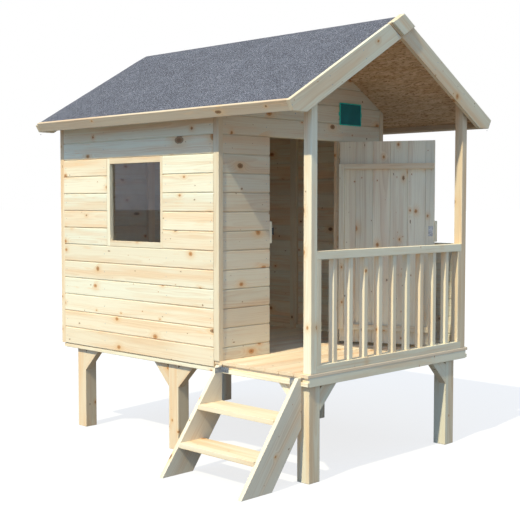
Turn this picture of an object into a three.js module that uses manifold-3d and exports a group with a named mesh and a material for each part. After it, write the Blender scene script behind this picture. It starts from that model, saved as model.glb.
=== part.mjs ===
// Stilt playhouse: a boarded cabin with a front porch on six stilts, a two-step
// stair at the left, a railing across the front and a felted gable roof.
// Millimetres, +Z up. X runs across the gable front, Y from the porch to the back.
// The origin is under the middle of the whole object, on the ground.

import * as THREE from 'three';
import { mergeVertices } from 'three/addons/utils/BufferGeometryUtils.js';
import Module from 'manifold-3d';

const wasm = await Module();
wasm.setup();

// Stilts and their braces
const STILT = 70;
const STILT_LENGTH = 422;
const MID_STILT_FROM_FRONT = 857;
const BACK_STILT_INSET = 105;
const RIGHT_STILT_INSET = 101;
const BRACE_LEG = 112;
const BRACE_THICKNESS = 36;
const BRACE_CORNER_CUT = 18;

// Floor frame and boards
const FRAME_WIDTH = 1188;
const FRAME_DEPTH = 1792;
const BEAM_WIDTH = 50;
const BEAM_HEIGHT = 40;
const BOARD_FACE_WIDTH = 90;
const BOARD_THICKNESS = 15;
const GROOVE_WIDTH = 5;
const GROOVE_DEPTH = 3.5;
const DECK_SIDE_OVERHANG = 19;
const DECK_FRONT_OVERHANG = 7;

// Cabin walls
const CLADDING_DROP = 30;
const CORNER_POST_FRONT_WIDTH = 28;
const CORNER_POST_SIDE_WIDTH = 32;
const CORNER_POST_PROUD = 4;
const BATTEN_WIDTH = 48;
const BATTEN_THICKNESS = 20;
const WINDOW_WIDTH = 447;
const WINDOW_FROM_CABIN_FRONT = 395;
const WINDOW_BOARDS = 5;
const WINDOW_SILL_BOARDS = 6;
const WINDOW_FRONT_STILE = 18;
const WINDOW_BACK_STILE = 33;
const WINDOW_RAIL = 28;
const WINDOW_FRAME_DEPTH = 26;
const PANE_THICKNESS = 3;
const PANE_LAP = 12;
const DOORWAY_FROM_RIGHT = 348;
const DOORWAY_BOARDS = 12;

// Door
const DOOR_WIDTH = 490;
const DOOR_HINGE_GAP = 4;
const DOOR_LATCH_GAP = 20;
const DOOR_SWING_ROOM = 22;
const DOOR_PIN_PROUD = 6;
const DOOR_PIN_BESIDE = 1;
const DOOR_FLOOR_GAP = 17;
const DOOR_TOP_GAP = 6;
const DOOR_OPEN_ANGLE = THREE.MathUtils.degToRad(114);
const LEDGE_WIDTH = 28;
const LEDGE_THICKNESS = 18;
const UPPER_LEDGE_FROM_TOP = 113;
const LOWER_LEDGE_FROM_BOTTOM = 64;
const CLOSING_PLATE_LENGTH = 105;
const CLOSING_PLATE_WIDTH = 58;
const CLOSING_PLATE_REACH = 13;
const CLOSING_PLATE_FROM_BOTTOM = 521;
const CATCH_CLEARANCE = 3;
const CATCH_BLOCK_WIDTH = 15;

// Hinges
const HINGE_STRAP_LENGTH = 210;
const HINGE_STRAP_TIP_WIDTH = 14;
const HINGE_KNUCKLE_LENGTH = 30;
const HINGE_LEAF_WIDTH = 40;
const HINGE_PLATE_THICKNESS = 2.5;
const HINGE_KNUCKLE_RADIUS = 5.5;
const HINGE_PIN_RADIUS = 2.8;
const HINGE_PIN_CLEARANCE = 0.3;
const HINGE_PIN_PROUD = 6;
const HINGE_KNUCKLE_GAP = 0.5;
const HINGE_LEAF_CLEARANCE = 2;

// Porch posts, front railing and side panel
const POST_WIDTH = 38;
const POST_DEPTH = 45;
const POST_INSET = 10;
const RAIL_DEPTH = 40;
const RAIL_TOP_HEIGHT = 527;
const HANDRAIL_HEIGHT = 37;
const BOTTOM_RAIL_HEIGHT = 35;
const BALUSTER_WIDTH = 25;
const BALUSTER_DEPTH = 30;
const BALUSTER_SET_BACK = 6;
const BALUSTER_COUNT = 9;
const BALUSTER_SHIFT = 7;
const END_STILE_WIDTH = 28;
const PANEL_BATTEN_WIDTH = 32;
const PANEL_BATTEN_THICKNESS = 18;
const SIGN_LEFT = 247;
const SIGN_WIDTH = 172;
const SIGN_UNDER_ROOF = 76;
const SIGN_HEIGHT = 115;
const SIGN_THICKNESS = 6;
const SIGN_RIM = 5;
const SIGN_RECESS = 2;

// Roof
const RIDGE_OVER_DOORWAY = 544;
const ROOF_PITCH = THREE.MathUtils.degToRad(30.27);
const EAVE_OVERHANG = 147;
const FELT_SET_DOWN = 6;
const FELT_THICKNESS = 3;
const ROOF_SHEET_THICKNESS = 12;
const ROOF_FRONT_OVERHANG = 12;
const EAVE_BOARD_WIDTH = 50;
const EAVE_BOARD_THICKNESS = 18;
const BARGE_WIDTH = 92;
const BARGE_THICKNESS = 20;
const BARGE_JOINT_GAP = 5;
const RIDGE_COVER_ACROSS = 84;
const RIDGE_COVER_THICKNESS = 12;

// Stair
const STRINGER_WIDTH = 145;
const STRINGER_THICKNESS = 22;
const STAIR_RUN = 343;
const STAIR_FROM_FRONT = 38;
const STAIR_PAST_WALL = 4;
const TREAD_DEPTH = 150;
const TREAD_THICKNESS = 22;
const TREAD_NOSE = 11;
const DECK_TO_UPPER_TREAD = 179;
const UPPER_TO_LOWER_TREAD = 156;
const BRACKET_LEG = 45;
const BRACKET_WIDTH = 25;
const BRACKET_THICKNESS = 2.5;
const BRACKET_SET_DOWN = 8;

// Clearance between sawn faces that meet on a slope, and eased edges
const FIT = 0.3;
const STILT_EDGE = 3;
const BATTEN_EDGE = 1.5;
const CUT_OVERRUN = 20;
const ROUND_STEPS = 20;

// Levels and planes that follow from the sizes above
const beamTop = STILT_LENGTH + BEAM_HEIGHT;
const deckTop = beamTop + BOARD_THICKNESS;
const claddingBottom = deckTop - CLADDING_DROP;
const frameSide = FRAME_WIDTH / 2;
const wallSide = frameSide + BOARD_THICKNESS;
const cabinBack = FRAME_DEPTH + BOARD_THICKNESS;
const porchDepth = RAIL_DEPTH + DOOR_WIDTH + DOOR_SWING_ROOM;
const frontInside = porchDepth + BOARD_THICKNESS;
const cornerBack = porchDepth + CORNER_POST_SIDE_WIDTH;
const backCornerFront = cabinBack - CORNER_POST_SIDE_WIDTH;
const cornerInside = wallSide - CORNER_POST_FRONT_WIDTH;
const battenInside = frameSide - BATTEN_THICKNESS;
const doorwayRight = frameSide - DOORWAY_FROM_RIGHT;
const doorwayLeft = doorwayRight - DOOR_WIDTH - DOOR_HINGE_GAP - DOOR_LATCH_GAP;
const doorwayTop = claddingBottom + BOARD_FACE_WIDTH * DOORWAY_BOARDS;
const slopeCos = Math.cos(ROOF_PITCH);
const slopeSin = Math.sin(ROOF_PITCH);
const slopeTan = Math.tan(ROOF_PITCH);
const ridgeHeight = doorwayTop + RIDGE_OVER_DOORWAY;
const slopeLength = (wallSide + EAVE_OVERHANG) / slopeCos;
const sheetTop = FELT_SET_DOWN + FELT_THICKNESS + FIT;
const soffitSetDown = sheetTop + ROOF_SHEET_THICKNESS;
const roofFront = -ROOF_FRONT_OVERHANG;
const roofBack = cabinBack;

const house = new THREE.Group();

// Materials
const timber = (tint) => new THREE.MeshStandardMaterial({ color: tint, roughness: 0.72, metalness: 0 });
const pine = () => timber(0xe9cf9f);
const palePine = () => timber(0xf0dcb2);
const sheetWood = () => timber(0x8a6238);
const felt = () => new THREE.MeshStandardMaterial({ color: 0x6f7180, roughness: 0.95, metalness: 0 });
const steel = () => new THREE.MeshStandardMaterial({ color: 0x9aa2ad, roughness: 0.4, metalness: 0.85 });
const acrylic = () => new THREE.MeshStandardMaterial({ color: 0x5c5f68, roughness: 0.12, metalness: 0 });

// Height of a plane under the roof at a distance from the ridge line
function underRoof(x, setDown) {
  return ridgeHeight - Math.abs(x) * slopeTan - setDown / slopeCos;
}

// Point on the left slope, a way down from the ridge and a depth below its top line
function onSlope(down, depth) {
  return new THREE.Vector2(
    -down * slopeCos + depth * slopeSin,
    ridgeHeight - down * slopeSin - depth * slopeCos,
  );
}

const mirrored = (points) => points.map((point) => new THREE.Vector2(-point.x, point.y));
const outline = (pairs) => pairs.map(([u, v]) => new THREE.Vector2(u, v));

// Extrusions of an outline along each axis, from one end to the other
const axes = {
  x: [[0, 1, 0], [0, 0, 1], [1, 0, 0]],
  y: [[1, 0, 0], [0, 0, 1], [0, -1, 0]],
  z: [[1, 0, 0], [0, 1, 0], [0, 0, 1]],
};

function extrude(points, axis, from, to) {
  const geometry = new THREE.ExtrudeGeometry(new THREE.Shape(points), {
    depth: to - from,
    bevelEnabled: false,
  });
  const [u, v, w] = axes[axis].map((direction) => new THREE.Vector3(...direction));
  const start = axis === 'y' ? to : from;
  const shift = new THREE.Vector3().setComponent('xyz'.indexOf(axis), start);
  geometry.applyMatrix4(new THREE.Matrix4().makeBasis(u, v, w).setPosition(shift));
  return welded(geometry);
}

function welded(geometry) {
  geometry.deleteAttribute('normal');
  geometry.deleteAttribute('uv');
  const whole = mergeVertices(geometry);
  whole.computeVertexNormals();
  return whole;
}

// A sawn section with its four edges eased
function easedSection([u0, u1], [v0, v1], edge) {
  return outline([
    [u0 + edge, v0], [u1 - edge, v0], [u1, v0 + edge], [u1, v1 - edge],
    [u1 - edge, v1], [u0 + edge, v1], [u0, v1 - edge], [u0, v0 + edge],
  ]);
}

// A straight timber between three pairs of planes, eased along its length
function timberBar(x, y, z, edge = BATTEN_EDGE) {
  const spans = { x: x[1] - x[0], y: y[1] - y[0], z: z[1] - z[0] };
  const axis = Object.keys(spans).reduce((best, key) => (spans[key] > spans[best] ? key : best));
  const sections = { x: [y, z], y: [x, z], z: [x, y] };
  const ends = { x, y, z }[axis];
  return extrude(easedSection(...sections[axis], edge), axis, ends[0], ends[1]);
}

function block(x, y, z) {
  const geometry = new THREE.BoxGeometry(x[1] - x[0], y[1] - y[0], z[1] - z[0]);
  geometry.translate((x[0] + x[1]) / 2, (y[0] + y[1]) / 2, (z[0] + z[1]) / 2);
  return welded(geometry);
}

// Joining and cutting
function solid(geometry) {
  return new wasm.Manifold(new wasm.Mesh({
    numProp: 3,
    vertProperties: new Float32Array(geometry.getAttribute('position').array),
    triVerts: new Uint32Array(geometry.getIndex().array),
  }));
}

function geometryOf(body) {
  const mesh = body.getMesh();
  const geometry = new THREE.BufferGeometry();
  geometry.setAttribute('position', new THREE.BufferAttribute(new Float32Array(mesh.vertProperties), 3));
  geometry.setIndex(new THREE.BufferAttribute(new Uint32Array(mesh.triVerts), 1));
  geometry.computeVertexNormals();
  return geometry;
}

function joined(first, ...others) {
  return others.reduce((whole, geometry) => whole.add(solid(geometry)), solid(first));
}

function addPiece(name, geometry, material, parent = house) {
  const mesh = new THREE.Mesh(geometry, material);
  mesh.name = name;
  parent.add(mesh);
}

// Boards: joints every cover width from a start, as V grooves on one or both faces
function jointsBetween(from, to, first) {
  const joints = [];
  for (let place = first; place < to - GROOVE_WIDTH; place += BOARD_FACE_WIDTH) {
    if (place > from + GROOVE_WIDTH) joints.push(place);
  }
  return joints;
}

function groove(face, inward, place) {
  return [
    [face, place - GROOVE_WIDTH / 2],
    [face + inward * GROOVE_DEPTH, place],
    [face, place + GROOVE_WIDTH / 2],
  ];
}

// Section of a boarded panel: across is its thickness, along is where its boards stack
function boardedSection(across, along, first, bothFaces = true) {
  const [face, back] = across;
  const inward = Math.sign(back - face);
  const joints = jointsBetween(along[0], along[1], first);
  const up = joints.flatMap((place) => groove(face, inward, place));
  const down = joints.flatMap((place) => groove(back, -inward, place)).reverse();
  return [
    [face, along[0]],
    ...up,
    [face, along[1]],
    [back, along[1]],
    ...(bothFaces ? down : []),
    [back, along[0]],
  ];
}

const swapped = (pairs) => pairs.map(([u, v]) => [v, u]);

// Stilts, flush with the frame at the left and set in at the right
const stiltRows = {
  front: 0,
  mid: MID_STILT_FROM_FRONT,
  back: FRAME_DEPTH - BACK_STILT_INSET - STILT,
};
const stiltSides = { left: -frameSide, right: frameSide - RIGHT_STILT_INSET - STILT };

function addStilts() {
  for (const [row, y] of Object.entries(stiltRows)) {
    for (const [side, x] of Object.entries(stiltSides)) {
      const stilt = timberBar([x, x + STILT], [y, y + STILT], [0, STILT_LENGTH], STILT_EDGE);
      addPiece(`stilt_${row}_${side}`, stilt, pine());
    }
  }
}

// Triangular braces with the inner corner sawn off, as seen along their thickness
function braceOutline(direction, corner) {
  return outline([
    [corner + direction * BRACE_CORNER_CUT, STILT_LENGTH],
    [corner + direction * BRACE_LEG, STILT_LENGTH],
    [corner, STILT_LENGTH - BRACE_LEG],
    [corner, STILT_LENGTH - BRACE_CORNER_CUT],
  ]);
}

function addBraces() {
  const across = [0, BRACE_THICKNESS];
  const side = [-frameSide, -frameSide + BRACE_THICKNESS];
  const frontLeft = braceOutline(1, stiltSides.left + STILT);
  const frontRight = braceOutline(-1, stiltSides.right);
  addPiece('brace_front_left', extrude(frontLeft, 'y', ...across), pine());
  addPiece('brace_front_right', extrude(frontRight, 'y', ...across), pine());
  const along = {
    side_brace_front: [1, stiltRows.front + STILT],
    side_brace_mid_forward: [-1, stiltRows.mid],
    side_brace_mid_backward: [1, stiltRows.mid + STILT],
    side_brace_back: [-1, stiltRows.back],
  };
  for (const [name, [direction, corner]] of Object.entries(along)) {
    addPiece(name, extrude(braceOutline(direction, corner), 'x', ...side), pine());
  }
}

// Floor frame: a beam across the front, a bearer along each side, cross beams between them
function addFloorFrame() {
  const level = [STILT_LENGTH, beamTop];
  const between = [-frameSide + BEAM_WIDTH, frameSide - BEAM_WIDTH];
  const along = [BEAM_WIDTH, FRAME_DEPTH];
  const overStilt = (y) => [y + (STILT - BEAM_WIDTH) / 2, y + (STILT + BEAM_WIDTH) / 2];
  addPiece('front_beam', timberBar([-frameSide, frameSide], [0, BEAM_WIDTH], level), pine());
  addPiece('left_bearer', timberBar([-frameSide, between[0]], along, level), pine());
  addPiece('right_bearer', timberBar([between[1], frameSide], along, level), pine());
  addPiece('mid_cross_beam', timberBar(between, overStilt(stiltRows.mid), level), pine());
  addPiece('rear_cross_beam', timberBar(between, overStilt(stiltRows.back), level), pine());
  addPiece('back_beam', timberBar(between, [FRAME_DEPTH - BEAM_WIDTH, FRAME_DEPTH], level), pine());
}

// Floors: boards running across, grooved on top
function addFloors() {
  const thickness = [deckTop, beamTop];
  const firstJoint = BOARD_FACE_WIDTH - DECK_FRONT_OVERHANG;
  const nextJoint = cornerBack + BOARD_FACE_WIDTH;
  const porch = swapped(boardedSection(thickness, [-DECK_FRONT_OVERHANG, cornerBack], firstJoint, false));
  const cabin = swapped(boardedSection(thickness, [cornerBack, FRAME_DEPTH], nextJoint, false));
  const deck = extrude(outline(porch), 'x', -frameSide - DECK_SIDE_OVERHANG, wallSide);
  const beyond = [frameSide, wallSide + CUT_OVERRUN];
  const besidePanel = block(beyond, [POST_DEPTH, FRAME_DEPTH], [0, ridgeHeight]);
  addPiece('porch_deck', geometryOf(solid(deck).subtract(solid(besidePanel))), pine());
  addPiece('cabin_floor', extrude(outline(cabin), 'x', -frameSide, frameSide), pine());
}

// Everything below the roof sheets, used to saw the tops of walls and posts to the slope
function spaceUnderRoof() {
  const setDown = soffitSetDown + FIT;
  const reach = ridgeHeight;
  const section = outline([
    [-reach, underRoof(reach, setDown)],
    [-reach, -reach],
    [reach, -reach],
    [reach, underRoof(reach, setDown)],
    [0, underRoof(0, setDown)],
  ]);
  return solid(extrude(section, 'y', -reach, reach + cabinBack));
}

const belowRoof = spaceUnderRoof();
const firstWallJoint = claddingBottom + BOARD_FACE_WIDTH;
const windowLevel = [
  claddingBottom + BOARD_FACE_WIDTH * WINDOW_SILL_BOARDS,
  claddingBottom + BOARD_FACE_WIDTH * (WINDOW_SILL_BOARDS + WINDOW_BOARDS),
];
const windowAlong = [
  porchDepth + WINDOW_FROM_CABIN_FRONT,
  porchDepth + WINDOW_FROM_CABIN_FRONT + WINDOW_WIDTH,
];

// Side walls: grooved boards outside, battens inside at the foot, at the ends and at mid length
function sideWall(side, uprights, extras = []) {
  const skin = [side * wallSide, side * frameSide];
  const inner = [side * frameSide, side * battenInside].sort((a, b) => a - b);
  const boards = boardedSection(skin, [claddingBottom, ridgeHeight], firstWallJoint);
  const cladding = extrude(outline(boards), 'y', cornerBack, backCornerFront);
  const foot = block(inner, [cornerBack, backCornerFront], [deckTop, deckTop + BATTEN_THICKNESS]);
  const battens = uprights.map((y) => block(inner, [y, y + BATTEN_WIDTH], [deckTop, ridgeHeight]));
  const bars = extras.map(([y, z]) => block(inner, y, z));
  return joined(cladding, foot, ...battens, ...bars).intersect(belowRoof);
}

function addSideWalls() {
  const ends = [cornerBack, backCornerFront - BATTEN_WIDTH];
  const middle = (ends[0] + ends[1]) / 2;
  const beside = [windowAlong[0] - BATTEN_WIDTH, windowAlong[1]];
  const between = [windowAlong[0] - BATTEN_WIDTH, windowAlong[1] + BATTEN_WIDTH];
  const overAndUnder = [
    [between, [windowLevel[0] - BATTEN_WIDTH, windowLevel[0]]],
    [between, [windowLevel[1], windowLevel[1] + BATTEN_WIDTH]],
  ];
  const opening = block([-wallSide - CUT_OVERRUN, -battenInside + CUT_OVERRUN], windowAlong, windowLevel);
  const left = sideWall(-1, [...ends, ...beside], overAndUnder).subtract(solid(opening));
  addPiece('left_wall', geometryOf(left), palePine());
  addPiece('right_wall', geometryOf(sideWall(1, [...ends, middle])), palePine());
}

// Window: a frame flush with the boards and a clear sheet behind it
function addWindow() {
  const outer = [-wallSide, -wallSide + WINDOW_FRAME_DEPTH];
  const along = [windowAlong[0] + FIT, windowAlong[1] - FIT];
  const level = [windowLevel[0] + FIT, windowLevel[1] - FIT];
  const openAlong = [along[0] + WINDOW_FRONT_STILE, along[1] - WINDOW_BACK_STILE];
  const openLevel = [level[0] + WINDOW_RAIL, level[1] - WINDOW_RAIL];
  const through = block([outer[0] - CUT_OVERRUN, outer[1] + CUT_OVERRUN], openAlong, openLevel);
  const frame = solid(block(outer, along, level)).subtract(solid(through));
  addPiece('window_frame', geometryOf(frame), palePine());
  const pane = block(
    [outer[1], outer[1] + PANE_THICKNESS],
    [openAlong[0] - PANE_LAP, openAlong[1] + PANE_LAP],
    [openLevel[0] - PANE_LAP, openLevel[1] + PANE_LAP],
  );
  addPiece('window_pane', pane, acrylic());
}

// Gable walls: boards between corner posts, battens inside, both sawn to the roof slope
function gableWall(face, into, proud, uprights, bars) {
  const skin = [face, face + into * BOARD_THICKNESS];
  const inner = [skin[1], skin[1] + into * BATTEN_THICKNESS].sort((a, b) => a - b);
  const corner = [face - into * proud, face + into * CORNER_POST_SIDE_WIDTH].sort((a, b) => a - b);
  const boards = boardedSection(skin, [deckTop, ridgeHeight], firstWallJoint);
  const cladding = extrude(outline(boards), 'x', -cornerInside, cornerInside);
  const posts = [-wallSide, cornerInside].map((x) => (
    block([x, x + CORNER_POST_FRONT_WIDTH], corner, [deckTop, ridgeHeight])
  ));
  const battens = uprights.map((x) => block([x, x + BATTEN_WIDTH], inner, [deckTop, ridgeHeight]));
  const rails = bars.map(([x, z]) => block(x, inner, z));
  return joined(cladding, ...posts, ...battens, ...rails).intersect(belowRoof);
}


function addGableWalls() {
  const ends = [-battenInside, battenInside - BATTEN_WIDTH];
  const header = [[doorwayLeft, doorwayRight], [doorwayTop, doorwayTop + BATTEN_WIDTH]];
  const jambs = [doorwayLeft - BATTEN_WIDTH, doorwayRight];
  const doorway = block(
    [doorwayLeft, doorwayRight],
    [porchDepth - CUT_OVERRUN, frontInside + BATTEN_THICKNESS + CUT_OVERRUN],
    [deckTop - CUT_OVERRUN, doorwayTop],
  );
  const front = gableWall(porchDepth, 1, CORNER_POST_PROUD, [...ends, ...jambs], [header]).subtract(solid(doorway));
  addPiece('front_wall', geometryOf(front), pine());
  const foot = [[-battenInside, battenInside], [deckTop, deckTop + BATTEN_THICKNESS]];
  const back = gableWall(cabinBack, -1, 0, [...ends, -BATTEN_WIDTH / 2], [foot]);
  addPiece('back_wall', geometryOf(back), pine());
}

// Door, drawn shut and then swung open about its pin
const pinX = doorwayRight + DOOR_PIN_BESIDE;
const pinY = porchDepth - DOOR_PIN_PROUD;
const doorRight = doorwayRight - DOOR_HINGE_GAP;
const doorLeft = doorRight - DOOR_WIDTH;
const doorBottom = deckTop + DOOR_FLOOR_GAP;
const doorTop = doorwayTop - DOOR_TOP_GAP;
const doorFace = porchDepth;
const doorBack = doorFace + BOARD_THICKNESS;
const ledgeLevels = [doorBottom + LOWER_LEDGE_FROM_BOTTOM, doorTop - UPPER_LEDGE_FROM_TOP - LEDGE_WIDTH];

function swung(geometry) {
  geometry.translate(-pinX, -pinY, 0);
  geometry.rotateZ(DOOR_OPEN_ANGLE);
  geometry.translate(pinX, pinY, 0);
  geometry.computeVertexNormals();
  return geometry;
}

function addDoor() {
  const firstJoint = doorLeft + BOARD_FACE_WIDTH / 2;
  const boards = swapped(boardedSection([doorFace, doorBack], [doorLeft, doorRight], firstJoint));
  addPiece('door_boards', swung(extrude(outline(boards), 'z', doorBottom, doorTop)), pine());
  const thickness = [doorBack + FIT, doorBack + FIT + LEDGE_THICKNESS];
  const stile = [doorRight - LEDGE_WIDTH, doorRight];
  const [lower, upper] = ledgeLevels;
  addPiece('door_stile', swung(timberBar(stile, thickness, [lower, upper + LEDGE_WIDTH])), pine());
  for (const [name, level] of [['lower', lower], ['upper', upper]]) {
    const ledge = timberBar([doorLeft, stile[0] - FIT], thickness, [level, level + LEDGE_WIDTH]);
    addPiece(`door_ledge_${name}`, swung(ledge), pine());
  }
  const plateLeft = doorLeft - CLOSING_PLATE_REACH + CATCH_CLEARANCE;
  const plateLevel = [doorBottom + CLOSING_PLATE_FROM_BOTTOM, 0];
  plateLevel[1] = plateLevel[0] + CLOSING_PLATE_LENGTH;
  const plateAcross = [plateLeft, plateLeft + CLOSING_PLATE_WIDTH];
  const plate = timberBar(plateAcross, [doorFace - FIT - LEDGE_THICKNESS, doorFace - FIT], plateLevel);
  addPiece('door_closing_plate', swung(plate), pine());
  const catchBlock = block(
    [doorwayLeft, doorwayLeft + CATCH_BLOCK_WIDTH],
    [doorFace, frontInside + BATTEN_THICKNESS],
    plateLevel,
  );
  addPiece('jamb_catch_block', catchBlock, pine());
}

// Hinges: a tapered strap with an eye on the door, a plate with a fixed pin on the wall
function knuckle(level, radius) {
  const round = new THREE.CylinderGeometry(radius, radius, level[1] - level[0], ROUND_STEPS);
  round.rotateX(Math.PI / 2);
  round.translate(pinX, pinY, (level[0] + level[1]) / 2);
  return welded(round);
}

function addHinges() {
  for (const [name, ledge] of [['lower', ledgeLevels[0]], ['upper', ledgeLevels[1]]]) {
    const middle = ledge + LEDGE_WIDTH / 2;
    const eye = [middle - HINGE_KNUCKLE_LENGTH / 2, middle + HINGE_KNUCKLE_LENGTH / 2];
    const tip = HINGE_STRAP_TIP_WIDTH / 2;
    const tipX = pinX - HINGE_STRAP_LENGTH;
    const strap = extrude(outline([
      [pinX, eye[0]],
      [pinX, eye[1]],
      [tipX + tip, middle + tip],
      [tipX, middle],
      [tipX + tip, middle - tip],
    ]), 'y', doorFace - FIT - HINGE_PLATE_THICKNESS, doorFace - FIT);
    const bore = [eye[0] - CUT_OVERRUN, eye[1] + CUT_OVERRUN];
    const strapBody = joined(strap, knuckle(eye, HINGE_KNUCKLE_RADIUS))
      .subtract(solid(knuckle(bore, HINGE_PIN_RADIUS + HINGE_PIN_CLEARANCE)));
    addPiece(`hinge_strap_${name}`, swung(geometryOf(strapBody)), steel());

    const seat = [eye[0] - HINGE_KNUCKLE_GAP - HINGE_KNUCKLE_LENGTH, eye[0] - HINGE_KNUCKLE_GAP];
    const leafLeft = pinX + HINGE_KNUCKLE_RADIUS + HINGE_LEAF_CLEARANCE;
    const leafFace = [porchDepth - HINGE_PLATE_THICKNESS, porchDepth];
    const leaf = block([leafLeft, leafLeft + HINGE_LEAF_WIDTH], leafFace, [seat[0], eye[1]]);
    const root = block([pinX, leafLeft + HINGE_LEAF_CLEARANCE], leafFace, seat);
    const pin = knuckle([seat[0], eye[1] + HINGE_PIN_PROUD], HINGE_PIN_RADIUS);
    const leafBody = joined(leaf, root, knuckle(seat, HINGE_KNUCKLE_RADIUS), pin);
    addPiece(`hinge_leaf_${name}`, geometryOf(leafBody), steel());
  }
}

// Porch posts up to the roof sheets, the framed railing between them and the side panel
const postOuter = frameSide - POST_INSET;
const postInner = postOuter - POST_WIDTH;

function addPorch() {
  for (const [side, x] of [['left', -postOuter], ['right', postInner]]) {
    const post = timberBar([x, x + POST_WIDTH], [0, POST_DEPTH], [deckTop, ridgeHeight]);
    addPiece(`porch_post_${side}`, geometryOf(solid(post).intersect(belowRoof)), pine());
  }
  const railTop = deckTop + RAIL_TOP_HEIGHT;
  const railBottom = railTop - HANDRAIL_HEIGHT;
  const depth = [0, RAIL_DEPTH];
  addPiece('handrail', timberBar([-postInner, postInner], depth, [railBottom, railTop]), pine());
  addPiece('front_balusters', balustrade(railBottom, depth), pine());
}

function balustrade(railBottom, depth) {
  const inner = postInner - END_STILE_WIDTH;
  const gap = (2 * inner - BALUSTER_COUNT * BALUSTER_WIDTH) / (BALUSTER_COUNT + 1);
  const set = [BALUSTER_SET_BACK, BALUSTER_SET_BACK + BALUSTER_DEPTH];
  const foot = block([-postInner, postInner], depth, [deckTop, deckTop + BOTTOM_RAIL_HEIGHT]);
  const stiles = [-postInner, inner].map((x) => block([x, x + END_STILE_WIDTH], depth, [deckTop, railBottom]));
  const balusters = Array.from({ length: BALUSTER_COUNT }, (_, index) => {
    const x = -inner + gap + index * (gap + BALUSTER_WIDTH) + BALUSTER_SHIFT;
    return block([x, x + BALUSTER_WIDTH], set, [deckTop, railBottom]);
  });
  return geometryOf(joined(foot, ...stiles, ...balusters));
}

function addSidePanel() {
  const railTop = deckTop + RAIL_TOP_HEIGHT;
  const railBottom = railTop - HANDRAIL_HEIGHT;
  const skin = [wallSide, frameSide];
  const inner = [frameSide - PANEL_BATTEN_THICKNESS, frameSide];
  const boards = boardedSection(skin, [claddingBottom, railBottom], firstWallJoint);
  const panelEnd = porchDepth - CORNER_POST_PROUD;
  const cladding = extrude(outline(boards), 'y', POST_DEPTH, panelEnd);
  const cornerPatch = block([frameSide, wallSide], [panelEnd, cornerBack], [claddingBottom, deckTop]);
  const uprights = [POST_DEPTH, (POST_DEPTH + panelEnd) / 2, panelEnd - PANEL_BATTEN_WIDTH].map((y) => (
    block(inner, [y, y + PANEL_BATTEN_WIDTH], [deckTop, railBottom])
  ));
  const foot = block(inner, [POST_DEPTH, panelEnd], [deckTop, deckTop + PANEL_BATTEN_THICKNESS]);
  addPiece('side_panel', geometryOf(joined(cladding, cornerPatch, ...uprights, foot)), palePine());
  const across = [frameSide - PANEL_BATTEN_THICKNESS, wallSide];
  addPiece('side_panel_rail', timberBar(across, [POST_DEPTH, panelEnd], [railBottom, railTop]), pine());
}

// Plain sign plate with a raised rim and a lug at each side, on the gable beside the ridge
function addSign() {
  const across = [SIGN_LEFT, SIGN_LEFT + SIGN_WIDTH];
  const top = underRoof(across[1], soffitSetDown) - SIGN_UNDER_ROOF;
  const level = [top - SIGN_HEIGHT, top];
  const face = porchDepth - SIGN_THICKNESS;
  const middle = (level[0] + level[1]) / 2;
  const plate = block(across, [face, porchDepth], level);
  const lugs = block(
    [across[0] - SIGN_RIM, across[1] + SIGN_RIM],
    [face + SIGN_RECESS, porchDepth],
    [middle - 2 * SIGN_RIM, middle + 2 * SIGN_RIM],
  );
  const field = block(
    [across[0] + SIGN_RIM, across[1] - SIGN_RIM],
    [face - CUT_OVERRUN, face + SIGN_RECESS],
    [level[0] + SIGN_RIM, level[1] - SIGN_RIM],
  );
  const paint = new THREE.MeshStandardMaterial({ color: 0x0f5450, roughness: 0.35, metalness: 0.1 });
  addPiece('sign_plate', geometryOf(joined(plate, lugs).subtract(solid(field))), paint);
}

// Roof: two sheets, felt laid over both, eave boards, barge boards and a ridge cover.
// A line at a depth below the left slope meets the ridge plane this far down the slope.
const downAtRidge = (depth) => depth * slopeTan;

function roofLayer(from, top, bottom) {
  return [
    onSlope(from + downAtRidge(top), top),
    onSlope(slopeLength - EAVE_BOARD_THICKNESS, top),
    onSlope(slopeLength - EAVE_BOARD_THICKNESS, bottom),
    onSlope(from + downAtRidge(bottom), bottom),
  ];
}

function addRoof() {
  const sheet = roofLayer(FIT, sheetTop, soffitSetDown);
  const cover = roofLayer(0, FELT_SET_DOWN, FELT_SET_DOWN + FELT_THICKNESS);
  const eaveTop = slopeLength - EAVE_BOARD_THICKNESS + FIT;
  const eaveBoard = [
    onSlope(eaveTop, 0),
    onSlope(slopeLength, 0),
    onSlope(slopeLength, EAVE_BOARD_WIDTH),
    onSlope(eaveTop, EAVE_BOARD_WIDTH),
  ];
  for (const [side, turn] of [['left', (points) => points], ['right', mirrored]]) {
    addPiece(`roof_sheet_${side}`, extrude(turn(sheet), 'y', roofFront, roofBack), sheetWood());
    addPiece(`roof_felt_${side}`, extrude(turn(cover), 'y', roofFront, roofBack), felt());
    addPiece(`eave_board_${side}`, extrude(turn(eaveBoard), 'y', roofFront, roofBack), pine());
  }
}

// A barge board as seen from the front: the foot is sawn square, then level; the head is
// given by two points, one on the board's lower edge and one on its top edge
function bargeOutline(lowerHead, upperHead) {
  const square = onSlope(slopeLength, EAVE_BOARD_WIDTH);
  const levelEnd = (ridgeHeight - BARGE_WIDTH / slopeCos - square.y) / slopeTan;
  return [
    upperHead,
    onSlope(slopeLength, 0),
    square,
    new THREE.Vector2(-levelEnd, square.y),
    lowerHead,
  ];
}

// Crossing of the left slope at one depth with the right slope at another
function crossing(leftDepth, rightDepth) {
  const x = (leftDepth - rightDepth) / slopeCos / slopeTan / 2;
  return new THREE.Vector2(x, ridgeHeight + x * slopeTan - leftDepth / slopeCos);
}

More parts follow.
